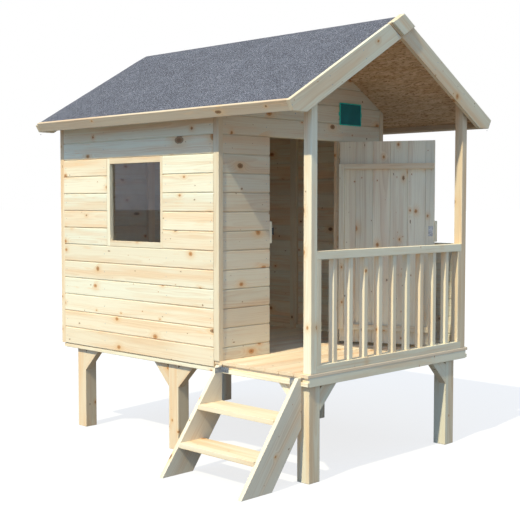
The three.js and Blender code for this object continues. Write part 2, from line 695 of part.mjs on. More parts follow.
function addBargeBoards() {
  const front = [roofFront - BARGE_THICKNESS, roofFront];
  const back = [roofBack, roofBack + BARGE_THICKNESS];
  const short = BARGE_WIDTH + BARGE_JOINT_GAP;
  const frontLeft = bargeOutline(crossing(BARGE_WIDTH, short), crossing(0, short));
  const frontRight = mirrored(bargeOutline(crossing(BARGE_WIDTH, 0), crossing(0, 0)));
  const mitre = new THREE.Vector2(-FIT, 0);
  const backLeft = bargeOutline(
    crossing(BARGE_WIDTH, BARGE_WIDTH).add(mitre),
    crossing(0, 0).add(mitre),
  );
  addPiece('barge_front_left', extrude(frontLeft, 'y', ...front), pine());
  addPiece('barge_front_right', extrude(frontRight, 'y', ...front), pine());
  addPiece('barge_back_left', extrude(backLeft, 'y', ...back), pine());
  addPiece('barge_back_right', extrude(mirrored(backLeft), 'y', ...back), pine());
  const cover = [
    crossing(0, 0),
    crossing(0, RIDGE_COVER_ACROSS),
    crossing(RIDGE_COVER_ACROSS, RIDGE_COVER_ACROSS),
    crossing(RIDGE_COVER_ACROSS, 0),
  ];
  addPiece('ridge_cover', extrude(cover, 'y', front[0] - RIDGE_COVER_THICKNESS, front[0]), pine());
}

// Stair: two sloping stringers against the left bearer, two treads and two angle brackets
const stairTopX = -frameSide - DECK_SIDE_OVERHANG;
const stairFootX = stairTopX - STAIR_RUN;
const stairSlope = STAIR_RUN / beamTop;
const stringerFootLength = STRINGER_WIDTH * Math.hypot(1, stairSlope);

function stringerOutline() {
  const backFootX = stairFootX + stringerFootLength;
  return outline([
    [stairFootX, 0],
    [backFootX, 0],
    [-frameSide, (-frameSide - backFootX) / stairSlope],
    [-frameSide, beamTop],
    [stairTopX, beamTop],
  ]);
}

function addStair() {
  const right = [STAIR_FROM_FRONT, STAIR_FROM_FRONT + STRINGER_THICKNESS];
  const farSide = porchDepth + STAIR_PAST_WALL;
  const left = [farSide - STRINGER_THICKNESS, farSide];
  addPiece('stringer_left', extrude(stringerOutline(), 'y', ...left), pine());
  addPiece('stringer_right', extrude(stringerOutline(), 'y', ...right), pine());
  const upper = deckTop - DECK_TO_UPPER_TREAD;
  const heights = { upper, lower: upper - UPPER_TO_LOWER_TREAD };
  for (const [name, height] of Object.entries(heights)) {
    const nose = stairFootX + height * stairSlope - TREAD_NOSE;
    const tread = timberBar(
      [nose, nose + TREAD_DEPTH],
      [right[1], left[0]],
      [height - TREAD_THICKNESS, height],
    );
    addPiece(`tread_${name}`, tread, pine());
  }
  const top = beamTop - BRACKET_SET_DOWN;
  for (const [name, corner, into] of [['left', left[0], -1], ['right', right[1], 1]]) {
    const angle = outline([
      [-frameSide, corner],
      [-frameSide, corner + into * BRACKET_LEG],
      [-frameSide - BRACKET_THICKNESS, corner + into * BRACKET_LEG],
      [-frameSide - BRACKET_THICKNESS, corner + into * BRACKET_THICKNESS],
      [-frameSide - BRACKET_LEG, corner + into * BRACKET_THICKNESS],
      [-frameSide - BRACKET_LEG, corner],
    ]);
    addPiece(`stair_bracket_${name}`, extrude(angle, 'z', top - BRACKET_WIDTH, top), steel());
  }
}

addStilts();
addBraces();
addFloorFrame();
addFloors();
addSideWalls();
addGableWalls();
addWindow();
addDoor();
addHinges();
addPorch();
addSidePanel();
addSign();
addRoof();
addBargeBoards();
addStair();

// The origin goes under the middle of the whole object, on the ground
const extent = new THREE.Box3().setFromObject(house);
const centre = extent.getCenter(new THREE.Vector3());
house.children.forEach((mesh) => mesh.geometry.translate(-centre.x, -centre.y, -extent.min.z));

export default house;
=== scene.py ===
"""Looks of the stilt playhouse: bare pine boards, mineral felt, sheet soffit, zinc and a plain sign."""

import math
import random

import bmesh
import bpy
from mathutils import Euler, Matrix, Vector


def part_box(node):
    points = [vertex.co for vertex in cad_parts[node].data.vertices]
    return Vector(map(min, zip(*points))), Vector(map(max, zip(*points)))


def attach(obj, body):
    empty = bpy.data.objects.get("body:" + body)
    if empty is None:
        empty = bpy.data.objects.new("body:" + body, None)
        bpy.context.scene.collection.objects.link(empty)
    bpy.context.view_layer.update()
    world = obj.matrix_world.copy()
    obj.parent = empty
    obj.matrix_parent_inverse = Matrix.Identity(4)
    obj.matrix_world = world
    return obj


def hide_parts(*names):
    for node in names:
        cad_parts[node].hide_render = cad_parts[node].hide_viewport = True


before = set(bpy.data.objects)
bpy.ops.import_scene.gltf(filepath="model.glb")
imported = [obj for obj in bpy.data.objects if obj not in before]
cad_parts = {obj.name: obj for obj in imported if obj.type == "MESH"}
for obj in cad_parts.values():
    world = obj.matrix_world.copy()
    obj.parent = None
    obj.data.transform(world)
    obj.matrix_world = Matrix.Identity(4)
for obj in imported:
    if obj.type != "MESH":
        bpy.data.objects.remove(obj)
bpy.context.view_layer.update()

MM = 0.001
X, Y, Z = 0, 1, 2
HOUSE_X = 100 * MM
HOUSE_Y = -891.5 * MM
PITCH = math.radians(30.27)
TAN, COS, SIN = math.tan(PITCH), math.cos(PITCH), math.sin(PITCH)

# Main measures of the house, millimetres
RIDGE = 2071
SIDE = 609
SKIN = 15
DECK = 477
FOOT = 447
PORCH = 552
BACK = 1807
POST_WIDE, POST_DEEP = 28, 32
CORNER = PORCH + POST_DEEP
WALL_END = BACK - POST_DEEP
POST_IN = SIDE - POST_WIDE
OVER_ROOF = 2050
WINDOW_Y = (947, 1394)
WINDOW_Z = (987, 1437)
DOOR_X = (-268, 246)
DOOR_TOP = 1527
FRAME_X, FRAME_Y = 594, 1792
CLEAR = 0.3


def hx(x):
    """X in the row frame of a distance in millimetres from the ridge line."""
    return x * MM + HOUSE_X


def hy(y):
    """Y in the row frame of a distance in millimetres behind the front beam."""
    return y * MM + HOUSE_Y


def at(x, y, z):
    """Row-frame point of a place given in millimetres from the ridge line, the front beam and the ground."""
    return Vector((hx(x), hy(y), z * MM))


def srgb(r, g, b):
    """Linear colour of an 8-bit display colour."""

    def linear(c):
        return c / 255 / 12.92 if c <= 10 else ((c / 255 + 0.055) / 1.055) ** 2.4

    return linear(r), linear(g), linear(b), 1.0


# Shader nodes
class Tree:
    """Short names for adding and linking shader nodes."""

    def __init__(self, tree):
        self.tree = tree

    def node(self, kind, **props):
        n = self.tree.nodes.new(kind)
        for key, value in props.items():
            setattr(n, key, value)
        return n

    def put(self, socket, value):
        if isinstance(value, bpy.types.NodeSocket):
            self.tree.links.new(value, socket)
        else:
            socket.default_value = value

    def fill(self, n, *values):
        """Puts values into a node's inputs in their order and gives its first output."""
        for socket, value in zip(n.inputs, values):
            self.put(socket, value)
        return n.outputs[0]

    def feed(self, n, **values):
        """Puts values into a node's inputs by name and gives all its outputs."""
        for name, value in values.items():
            self.put(n.inputs[name], value)
        return n.outputs

    def math(self, op, a, b=0.0, c=0.0):
        return self.fill(self.node("ShaderNodeMath", operation=op), a, b, c)

    def add(self, a, b):
        return self.math("ADD", a, b)

    def less(self, a, b):
        return self.math("SUBTRACT", a, b)

    def times(self, a, b):
        return self.math("MULTIPLY", a, b)

    def over(self, a, b):
        return self.math("DIVIDE", a, b)

    def line(self, v, slope, start):
        """The value times a slope, plus a start."""
        return self.math("MULTIPLY_ADD", v, slope, start)

    def vmath(self, op, a, b):
        return self.fill(self.node("ShaderNodeVectorMath", operation=op), a, b)

    def length(self, v):
        n = self.node("ShaderNodeVectorMath", operation="LENGTH")
        self.fill(n, v)
        return n.outputs["Value"]

    def split(self, v):
        n = self.node("ShaderNodeSeparateXYZ")
        self.fill(n, v)
        return n.outputs

    def join(self, x, y, z):
        return self.fill(self.node("ShaderNodeCombineXYZ"), x, y, z)

    def mix(self, f, a, b, blend="MIX"):
        n = self.node("ShaderNodeMix", data_type="RGBA", blend_type=blend)
        return next(o for o in self.feed(n, Factor=f, A=a, B=b) if o.type == "RGBA")

    def mixf(self, f, a, b):
        return self.feed(self.node("ShaderNodeMix", data_type="FLOAT"), Factor=f, A=a, B=b)[0]

    def smooth(self, v, lo, hi, a=0.0, b=1.0):
        """A smooth step from a to b as the value passes from lo to hi."""
        return self.fill(self.node("ShaderNodeMapRange", interpolation_type="SMOOTHSTEP"), v, lo, hi, a, b)

    def lay(self, base, colour, v, lo, hi, most=1.0):
        """The base with a colour laid over it as the value passes from lo to hi."""
        return self.mix(self.smooth(v, lo, hi, 0.0, most), base, colour)

    def shaded(self, colour, shade):
        return self.mix(1.0, colour, self.join(shade, shade, shade), "MULTIPLY")

    def noise(self, vector, scale, detail=2, rough=0.5):
        n = self.node("ShaderNodeTexNoise", noise_dimensions="3D")
        return self.feed(n, Vector=vector, Scale=scale, Detail=detail, Roughness=rough)["Fac"]

    def drawn(self, vector, scales, detail=2, rough=0.5):
        """Noise with its own scale along each axis."""
        return self.noise(self.vmath("MULTIPLY", vector, scales), 1.0, detail, rough)

    def cells(self, vector, scale, dimensions="3D"):
        n = self.node("ShaderNodeTexVoronoi", voronoi_dimensions=dimensions, feature="F1")
        return self.feed(n, Vector=vector, Scale=scale)

    def attribute(self, name, output="Vector"):
        return self.node("ShaderNodeAttribute", attribute_name=name).outputs[output]

    def place(self):
        return self.node("ShaderNodeTexCoord").outputs["Object"]

    def bump(self, height, strength, distance):
        return self.feed(self.node("ShaderNodeBump"), Height=height, Strength=strength, Distance=distance)[0]

    def seen(self):
        """The light path's outputs, and 1 for camera, transmission and glossy rays."""
        path = self.node("ShaderNodeLightPath").outputs
        direct = self.math("MAXIMUM", path["Is Camera Ray"], path["Is Transmission Ray"])
        return path, self.math("MAXIMUM", direct, path["Is Glossy Ray"])


class Skin(Tree):
    """The nodes of a new material."""

    def __init__(self, name):
        self.material = bpy.data.materials.new(name)
        self.material.use_nodes = True
        super().__init__(self.material.node_tree)

    def surface(self, inputs):
        """Puts the shader's inputs and gives the finished material."""
        shader = self.tree.nodes["Principled BSDF"]
        for name, value in inputs.items():
            self.put(shader.inputs[name], value)
        return self.material


# Materials
FLAME, HALO = srgb(240, 200, 152), srgb(232, 184, 126)
KNOT, KNOT_RING, KNOT_PITH = srgb(208, 144, 84), srgb(168, 108, 60), srgb(130, 82, 48)
DEAD_KNOT, BARK = srgb(84, 60, 44), srgb(112, 76, 50)
CUT, CUT_RING, SAW_MARK = srgb(242, 224, 192), srgb(208, 172, 128), srgb(170, 140, 108)


def wood(name, pale, tan, late, chance, biggest=11.5, ring=4.0, peach=0.42):
    """Solid softwood: rings round a pith, branches running out from it, streaks and fibre."""
    pale, tan, late = (srgb(*colour) for colour in (pale, tan, late))
    t = Skin(name)
    g = t.attribute("grain")
    bright, warmth, seed = t.split(t.attribute("tone"))
    ends = t.attribute("ends", "Fac")
    gx, gy, gz = t.split(g)
    radius = t.length(t.join(0.0, gy, gz))
    turn = t.math("ARCTAN2", gy, t.math("ABSOLUTE", gz))
    wobble = t.line(t.noise(g, 150), 0.0050, -0.0025)

    def knots(cell, low, high, share, shift):
        """Distance from the nearest branch in branch radii, whether it is there, and its kind."""
        along = t.add(gx, shift)
        nearest = t.cells(t.join(t.over(along, cell[0]), t.over(turn, cell[1]), 0.0), 1.0, "2D")
        place = t.split(nearest["Position"])
        dice = t.split(nearest["Color"])
        dx = t.less(along, t.times(place[0], cell[0]))
        da = t.times(t.less(turn, t.times(place[1], cell[1])), radius)
        stretch = t.mixf(t.math("GREATER_THAN", dice[2], 0.90), 0.64, 0.34)
        away = t.length(t.join(t.times(dx, stretch), t.add(da, wobble), 0.0))
        thick = t.line(t.math("POWER", dice[1], 1.7), (high - low) * MM, low * MM)
        thick = t.times(thick, t.math("POWER", t.over(radius, 0.07), 0.5))
        return t.over(away, thick), t.math("LESS_THAN", dice[0], share), dice[2]

    def falloff(knot, reach):
        s = t.over(knot[0], reach)
        return t.times(t.math("EXPONENT", t.times(t.times(s, s), -1.0)), knot[1])

    def heart(base, knot, live, strength):
        """The base with a knot's rings and rim laid over it; kinds past live are dead knots."""
        d, on, kind = knot
        dead = t.smooth(kind, live, live + 0.08)
        rings = t.line(t.math("SINE", t.times(d, 17.0)), 0.5, 0.5)
        core = t.lay(t.mix(t.times(rings, 0.55), KNOT, KNOT_RING), KNOT_PITH, d, 0.60, 0.10, 0.75)
        core = t.mix(t.times(dead, 0.72), core, DEAD_KNOT)
        inside = t.times(t.smooth(d, 1.22, 0.62, 0.0, strength), on)
        rim = t.times(t.smooth(t.math("ABSOLUTE", t.less(d, 1.0)), 0.22, 0.04), on)
        return t.mix(t.times(rim, t.line(dead, 0.42, 0.22)), t.mix(inside, base, core), BARK)

    big = knots((0.25, 1.05), 4.2, biggest, chance, 0.0)
    pin = knots((0.17, 0.70), 1.4, 3.4, chance * 0.8, 7.3)
    halo = t.add(falloff(big, 2.5), t.times(falloff(pin, 1.8), 0.30))

    # Rings, bent by slow warps and pushed out round knots
    warp = t.line(t.drawn(g, (1.5, 9, 9)), 0.018, -0.009)
    fine_warp = t.line(t.drawn(g, (7, 70, 70)), 0.0018, -0.0009)
    r = t.add(t.add(radius, warp), t.line(halo, 0.011, fine_warp))
    uneven = t.noise(t.join(t.times(r, 90.0), seed, 0.0), 1.0, 1)
    phase = t.math("FRACT", t.add(t.over(r, ring * MM), t.times(uneven, 1.6)))
    latewood = t.times(t.smooth(phase, 0.22, 0.86), t.smooth(phase, 1.0, 0.90))

    broad = t.drawn(g, (1.1, 15, 15), 3, 0.55)
    streak = t.drawn(g, (2.6, 110, 110), 3, 0.6)
    fibre = t.drawn(g, (40, 1400, 1400), 2, 0.6)
    flame = t.drawn(g, (5.0, 34, 34), 3, 0.6)
    sawn = t.drawn(g, (900, 900, 900), 2, 0.6)

    warm = t.add(t.smooth(warmth, 0.20, 0.95, 0.04, 0.64), t.smooth(broad, 0.44, 0.70, -0.08, 0.66))
    colour = t.mix(warm, pale, tan)
    colour = t.mix(t.times(latewood, t.smooth(broad, 0.34, 0.66, 0.08, 0.34)), colour, late)
    colour = t.lay(colour, late, streak, 0.54, 0.78, 0.36)
    colour = t.lay(colour, FLAME, flame, 0.60, 0.74, peach)
    colour = t.mix(t.times(halo, 0.62), colour, HALO)
    colour = t.shaded(colour, t.times(t.line(fibre, 0.10, 0.95), t.line(bright, 0.13, 0.90)))
    colour = heart(heart(colour, big, 0.70, 0.86), pin, 0.50, 0.74)
    cut = t.lay(t.mix(latewood, CUT, CUT_RING), SAW_MARK, sawn, 0.35, 0.75, 0.35)
    height = t.add(t.add(t.times(latewood, 0.5), t.times(fibre, 0.6)), t.times(halo, 0.35))
    return t.surface({
        "Base Color": t.mix(t.times(ends, 0.60), colour, cut),
        "Normal": t.bump(height, 0.22, 0.0006),
        "Roughness": t.line(fibre, 0.12, 0.56),
        "Specular IOR Level": 0.22,
    })


def veneer(name):
    """Rotary-cut sheet: wavy brown figure along the sheet, small plugs and lathe checks."""
    t = Skin(name)
    g = t.attribute("grain")
    wave = t.drawn(g, (5.5, 16, 16), 3, 0.6)
    bent = t.vmath("ADD", g, t.join(0.0, t.line(wave, 0.09, -0.045), 0.0))
    figure = t.drawn(bent, (34, 190, 190), 4, 0.66)
    flame = t.drawn(bent, (5, 46, 46), 3, 0.55)
    check = t.drawn(g, (14, 620, 620), 2, 0.55)
    fleck = t.drawn(g, (110, 420, 420), 2, 0.6)
    colour = t.lay(srgb(222, 190, 156), srgb(204, 168, 130), flame, 0.36, 0.64)
    colour = t.lay(colour, srgb(150, 104, 66), figure, 0.48, 0.63, 0.88)
    colour = t.lay(colour, srgb(112, 76, 50), check, 0.56, 0.70, 0.55)
    colour = t.lay(colour, srgb(232, 202, 160), fleck, 0.58, 0.76, 0.40)
    return t.surface({
        "Base Color": colour,
        "Normal": t.bump(t.add(t.times(figure, 0.6), t.times(check, 0.5)), 0.30, 0.0008),
        "Roughness": 0.7,
        "Specular IOR Level": 0.2,
    })


def mineral_felt(name):
    """Bitumen felt under slate granules: pale and dark grains, thin places, slow mottling."""
    t = Skin(name)
    p = t.place()
    grain = t.cells(p, 520)
    dice = t.split(grain["Color"])
    clump = t.noise(p, 150, 3, 0.72)
    mottle = t.noise(p, 14, 4, 0.6)
    cloud = t.noise(p, 3.2)
    colour = t.lay(srgb(48, 48, 57), srgb(108, 109, 121), dice[0], 0.15, 0.95)
    colour = t.lay(colour, srgb(176, 176, 186), dice[1], 0.90, 0.97)
    colour = t.lay(colour, srgb(148, 148, 160), clump, 0.53, 0.70, 0.85)
    colour = t.lay(colour, srgb(44, 45, 54), clump, 0.47, 0.30, 0.85)
    shade = t.times(t.smooth(mottle, 0.30, 0.70, 0.90, 1.08), t.smooth(cloud, 0.3, 0.7, 0.95, 1.05))
    height = t.add(t.times(grain["Distance"], -1.0), t.times(clump, 0.8))
    return t.surface({
        "Base Color": t.shaded(colour, shade),
        "Normal": t.bump(height, 0.55, 0.0012),
        "Roughness": 0.88,
        "Specular IOR Level": 0.25,
    })


def zinc(name):
    """Galvanised steel: grey-blue spangle with dull patches."""
    t = Skin(name)
    p = t.place()
    dice = t.split(t.cells(p, 190)["Color"])
    dull = t.noise(p, 60, 4, 0.6)
    colour = t.mix(dice[0], srgb(150, 156, 166), srgb(196, 201, 208))
    return t.surface({
        "Base Color": t.lay(colour, srgb(138, 142, 148), dull, 0.45, 0.72, 0.6),
        "Normal": t.bump(dull, 0.12, 0.0005),
        "Roughness": t.line(dice[1], 0.16, t.smooth(dull, 0.3, 0.7, 0.30, 0.46)),
        "Metallic": 1.0,
    })


def enamel(name, colour, light, roughness):
    """Coloured plastic or paint with a slow tone change, fine orange peel and rubbed marks."""
    t = Skin(name)
    p = t.place()
    slow = t.noise(p, 18, 3, 0.55)
    rub = t.drawn(p, (60, 60, 420), 3, 0.6)
    base = t.lay(srgb(*colour), srgb(*light), slow, 0.32, 0.70)
    return t.surface({
        "Base Color": t.lay(base, srgb(*light), rub, 0.62, 0.80, 0.20),
        "Normal": t.bump(t.noise(p, 700), 0.06, 0.0004),
        "Roughness": t.smooth(rub, 0.45, 0.75, roughness, roughness + 0.14),
    })


def clear_pane(name):
    """Thin clear sheet with a faint grey cast and a little dust."""
    t = Skin(name)
    dust = t.noise(t.place(), 9, 5, 0.7)
    return t.surface({
        "Base Color": t.lay((0.86, 0.87, 0.90, 1), (0.78, 0.79, 0.82, 1), dust, 0.4, 0.8),
        "Roughness": t.smooth(dust, 0.35, 0.8, 0.01, 0.07),
        "Transmission Weight": 1.0,
        "IOR": 1.45,
    })


# Softwoods: three colours, chance and greatest radius of a knot, ring width and strength of flames
CLADDING = wood("pine_cladding", (244, 239, 216), (243, 214, 178), (218, 180, 138), 0.38)
# A darker copy of the cladding: painted shade for the front wall under the porch roof, used on the back wall
# too
CLADDING_PAINTED_SHADE = wood("pine_cladding_painted_shade", (230, 223, 202), (231, 202, 169), (203, 167, 129), 0.52, 13.5, peach=0.22)
DOOR = wood("pine_door", (245, 236, 212), (230, 208, 182), (196, 166, 134), 0.62, 10.5, peach=0.10)
# A paler, cooler copy of the cladding: painted cool shade for the side panel's shaded inner face
SIDE_PANEL_PAINTED_SHADE_TINT = wood("pine_side_panel_painted_shade_tint", (246, 243, 230), (240, 224, 202), (214, 186, 152), 0.42, 9.5, peach=0.18)
FRAMING = wood("pine_framing", (241, 232, 207), (238, 203, 163), (212, 176, 134), 0.40, 8.0, 3.6)
STAIRS = wood("pine_stair_sides", (228, 217, 197), (234, 204, 170), (188, 158, 124), 0.45, 9.0, 3.4, 0.20)
EAVES = wood("pine_eave_boards", (216, 196, 169), (208, 174, 141), (182, 144, 110), 0.40, 7.0, 3.6)
DECKING = wood("pine_decking", (243, 230, 205), (240, 206, 172), (226, 188, 148), 0.32, 7.5)
SHEET = veneer("roof_sheet_veneer")
FELT = mineral_felt("slate_felt")
ZINC = zinc("zinc_plated_steel")
SIGN = enamel("teal_plate", (4, 112, 118), (10, 124, 128), 0.34)
RIM = enamel("teal_rim", (36, 196, 178), (70, 214, 198), 0.32)
MAGNET = enamel("black_housing", (22, 22, 24), (40, 40, 43), 0.45)
PANE = clear_pane("window_sheet")


# Mesh helpers
def grid(bm, lines, closed=False, looped=False):
    """Quads between lines of points; closed joins each line's ends, looped the last line to the first."""
    rings = [[bm.verts.new(p) for p in line] for line in lines]
    n = len(rings[0])
    next_rings = rings[1:] + (rings[:1] if looped else [])
    for a, b in zip(rings, next_rings):
        for i in range(n if closed else n - 1):
            j = (i + 1) % n
            bm.faces.new((a[i], a[j], b[j], b[i]))
    return rings


def prism(bm, outline, axis, a, b):
    """A prism with its outline in the two other axes (in X, Y, Z order), from a to b along axis."""
    rest = [i for i in range(3) if i != axis]

    def point(u, v, w):
        p = [0.0, 0.0, 0.0]
        p[rest[0]], p[rest[1]], p[axis] = u, v, w
        return p

    for ring in grid(bm, [[point(u, v, w) for u, v in outline] for w in (a, b)], closed=True):
        bm.faces.new(ring)


def rectangle(lo, hi, axis):
    """Outline of a box seen along an axis."""
    u, v = [i for i in range(3) if i != axis]
    return [(lo[u], lo[v]), (hi[u], lo[v]), (hi[u], hi[v]), (lo[u], hi[v])]


def bevel(bm, edges, offset, segments=2):
    bmesh.ops.bevel(
        bm, geom=edges, offset=offset, segments=segments, affect="EDGES", clamp_overlap=True, profile=0.6
    )


def linked(name, data):
    obj = bpy.data.objects.new(name, data)
    bpy.context.scene.collection.objects.link(obj)
    return obj


def hand_over(name, mesh, mat, body, nodes):
    """Makes the object of a mesh, hides the CAD parts it stands for and puts it under its body."""
    mesh.materials.append(mat)
    obj = linked(name, mesh)
    if nodes:
        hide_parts(*nodes)
    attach(obj, body)


# Timber
class Timber:
    """Collects sawn boards into one mesh, each with its own grain place and tone."""

    def __init__(self, name, seed, warmth=(0.0, 1.0)):
        self.name = name
        self.dice = random.Random(seed)
        self.warmth = warmth
        self.verts, self.faces, self.grain, self.tone, self.ends = [], [], [], [], []

    def add(self, profile, axis, a, b, cuts=(), ease=0.0012, along=None, tone=None):
        """A board as a prism, cut by planes, with eased edges and its grain along it or along a slope."""
        bm = bmesh.new()
        prism(bm, profile, axis, a, b)
        for origin, normal in cuts:
            whole = bm.verts[:] + bm.edges[:] + bm.faces[:]
            bmesh.ops.bisect_plane(
                bm, geom=whole, plane_co=origin, plane_no=normal, clear_outer=True, dist=1e-6
            )
            open_edges = [e for e in bm.edges if e.is_boundary]
            if open_edges:
                bmesh.ops.holes_fill(bm, edges=open_edges)
        if bm.faces:
            bmesh.ops.recalc_face_normals(bm, faces=bm.faces[:])
            if ease:
                bevel(bm, [e for e in bm.edges if e.is_manifold and e.calc_face_angle(0) > 0.6], ease)
            self.take(bm, axis, along, tone)
        bm.free()

    def take(self, bm, axis, along, tone):
        """Adds the mesh with grain coordinates along, across and through it."""
        unit = Matrix.Identity(3)
        if along is None:
            wide, thin = [i for i in range(3) if i != axis]
            spans = [max(v.co[i] for v in bm.verts) - min(v.co[i] for v in bm.verts) for i in (wide, thin)]
            if spans[0] < spans[1]:
                wide, thin = thin, wide
            length, width, depth = unit[axis], unit[wide], unit[thin]
        else:
            length, depth = along.normalized(), unit[axis]
            width = depth.cross(length)
        along_each = [[v.co @ d for v in bm.verts] for d in (length, width, depth)]
        low, high = [min(c) for c in along_each], [max(c) for c in along_each]
        middle = [(a + b) / 2 for a, b in zip(low, high)]
        away = self.dice.uniform(0, 60)
        aside = self.dice.uniform(-0.035, 0.035)
        deep = self.dice.choice((-1, 1)) * (high[2] - middle[2] + self.dice.uniform(0.026, 0.085))
        dice = [self.dice.random() for _ in range(3)]
        dice[1] = self.warmth[0] + dice[1] * (self.warmth[1] - self.warmth[0])
        tone = tone or dice
        flip = self.dice.choice((-1, 1))
        index = {}
        for v in bm.verts:
            index[v] = len(self.verts)
            self.verts.append(tuple(v.co))
            self.grain.append((
                (v.co @ length - low[0]) * flip + away,
                v.co @ width - middle[1] + aside,
                v.co @ depth - middle[2] + deep,
            ))
            self.tone.append(tone)
        for f in bm.faces:
            self.faces.append([index[v] for v in f.verts])
            self.ends.append(1.0 if abs(f.normal @ length) > 0.8 else 0.0)

    def move(self, matrix):
        self.verts = [tuple(matrix @ Vector(v)) for v in self.verts]
        return self

    def stick(self, lo, hi, cuts=(), ease=0.0015, axis=None, tone=None):
        """A rectangular timber between two corners, along its longest side."""
        if axis is None:
            axis = max(range(3), key=lambda i: hi[i] - lo[i])
        self.add(rectangle(lo, hi, axis), axis, lo[axis], hi[axis], cuts, ease, tone=tone)

    def done(self, body, mat, slot, *nodes):
        mesh = bpy.data.meshes.new(self.name)
        mesh.from_pydata(self.verts, [], self.faces)
        for name, data in (("grain", self.grain), ("tone", self.tone)):
            layer = mesh.attributes.new(name, "FLOAT_VECTOR", "POINT")
            layer.data.foreach_set("vector", [c for p in data for c in p])
        layer = mesh.attributes.new("ends", "FLOAT", "FACE")
        layer.data.foreach_set("value", self.ends)
        hand_over(self.name, mesh, mat, body, nodes)


COVER = 90
FIRST_JOINT = FOOT + COVER
GAP = 1.75 * MM
END_GAP = 0.6 * MM
CUT_V = 2.9 * MM
SOFFIT_DOWN = 21.7 * MM
TOP_LINE = Vector((HOUSE_X, 0, RIDGE * MM - SOFFIT_DOWN / COS))
# Cutting planes that keep what lies under the roof sheets
ROOF = [(TOP_LINE, Vector((side * SIN, 0, COS))) for side in (1, -1)]


def grooved(face, back, lo, hi, cut=CUT_V, joints=(True, True), half_gap=GAP):
    """Section of a tongued board: (thickness, width) pairs, sloped edges and a thin gap at each joint."""
    s = 1 if back > face else -1
    lip = 0.36 * abs(back - face)
    shape = []
    for edge, inward, joint in ((lo, 1, joints[0]), (hi, -1, joints[1])):
        gap = inward * half_gap if joint else 0.0
        side = [
            (face, edge + gap + inward * cut), (face + s * cut, edge + gap),
            (face + s * lip, edge + gap), (face + s * lip, edge),
            (back - s * lip, edge), (back - s * lip, edge + gap),
            (back - s * 0.5 * cut, edge + gap), (back, edge + gap + inward * 0.5 * cut),
        ]
        if not joint:
            del side[2:6]
        shape.append(side)
    return shape[0] + shape[1][::-1]


def swap(pairs):
    return [(v, u) for u, v in pairs]


def rows(lo, hi, first):
    """Board rows from lo to hi with joints every cover width from first."""
    edges = [lo]
    joint = first
    while joint < hi - 1e-4:
        if joint > lo + 0.004:
            edges.append(joint)
        joint += COVER * MM
    edges.append(hi)
    return list(zip(edges, edges[1:]))


def level_rows(lo, hi):
    """Rows of the walls' horizontal boards between two heights in millimetres."""
    return rows(lo * MM, hi * MM, FIRST_JOINT * MM)


def corners(x, y, z):
    """Lowest and highest corner of a box between house measures in millimetres."""
    a, b = at(x[0], y[0], z[0]), at(x[1], y[1], z[1])
    return Vector(map(min, a, b)), Vector(map(max, a, b))


def bar(group, x, y, z, **more):
    """A stick between house measures in millimetres."""
    group.stick(*corners(x, y, z), **more)


def upright(group, x, y, low=DECK, **more):
    """A post or batten, cut off under the roof."""
    bar(group, x, y, (low, OVER_ROOF), cuts=ROOF, axis=Z, **more)


def nodes_named(*starts):
    return [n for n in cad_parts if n.startswith(starts)]


# As in the photo, stilts and braces lie further back and to the right, sill strips and stair further out
STILT_SHIFT = Vector((10 * MM, 10 * MM, 0))
SILL = 8 * MM
# Fixed tones of some pieces. The lower tone of the front-left stilt is painted shadow of the stair side, and
# the dark, cool tones of the front-right stilt and the front-left brace are painted shade
FIXED_TONES = {
    "handrail": (0.75, 0.15, 0.5), "front_beam": (0.7, 0.1, 0.4),
    "tread_upper": (0.6, 0.55, 0.4), "tread_lower": (0.6, 0.52, 0.7),
    "stilt_front_left": (0.3, 0.5, 0.5), "stilt_front_right": (0.0, 0.0, 0.6),
    "stilt_mid_left": (0.6, 0.78, 0.3), "stilt_back_left": (0.5, 0.85, 0.7),
    "brace_front_left": (0.0, 0.0, 0.4), "brace_front_right": (0.1, 0.1, 0.7),
    "side_brace_mid_forward": (0.2, 0.95, 0.2), "side_brace_mid_backward": (0.3, 1.0, 0.8),
    "side_brace_back": (0.4, 0.9, 0.5),
}


def shift(node):
    """How far a stilt, brace or tread lies from its node's place."""
    if node.startswith("tread"):
        return Vector((-SILL, 0, 0))
    if "stilt" in node or "brace" in node:
        return STILT_SHIFT
    return Vector()


# Straight timbers that keep the size of their CAD nodes: name starts, edge radius and slot
BEAMS = ("front_beam", "left_bearer", "right_bearer", "mid_cross", "rear_cross", "back_beam")
STRAIGHT = {
    "stilts": (("stilt_",), 3.0, "framing"),
    "floor_frame": (BEAMS, 2.0, "framing"),
    "stair_treads": (("tread_lower", "tread_upper"), 2.5, "floor_boards"),
    "railing_top": (("handrail", "side_panel_rail"), 2.0, "framing"),
    "catch_block": (("jamb_catch_block",), 1.0, "framing"),
}
for seed, (name, (starts, ease, slot)) in enumerate(STRAIGHT.items(), 11):
    group = Timber(name, seed)
    nodes = nodes_named(*starts)
    for node in nodes:
        lo, hi = (Vector(c) + shift(node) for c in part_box(node))
        group.stick(lo, hi, ease=ease * MM, tone=FIXED_TONES.get(node))
    group.done("house", FRAMING, slot, *nodes)

strips = Timber("sill_strips", 33)
for x in (-FRAME_X - 10, FRAME_X + 0.2):
    bar(strips, (x, x + 9.8), (0, FRAME_Y), (425.5, 443.5), ease=0.0012, tone=(0.9, 0.1, 0.5))
strips.done("house", FRAMING, "framing")

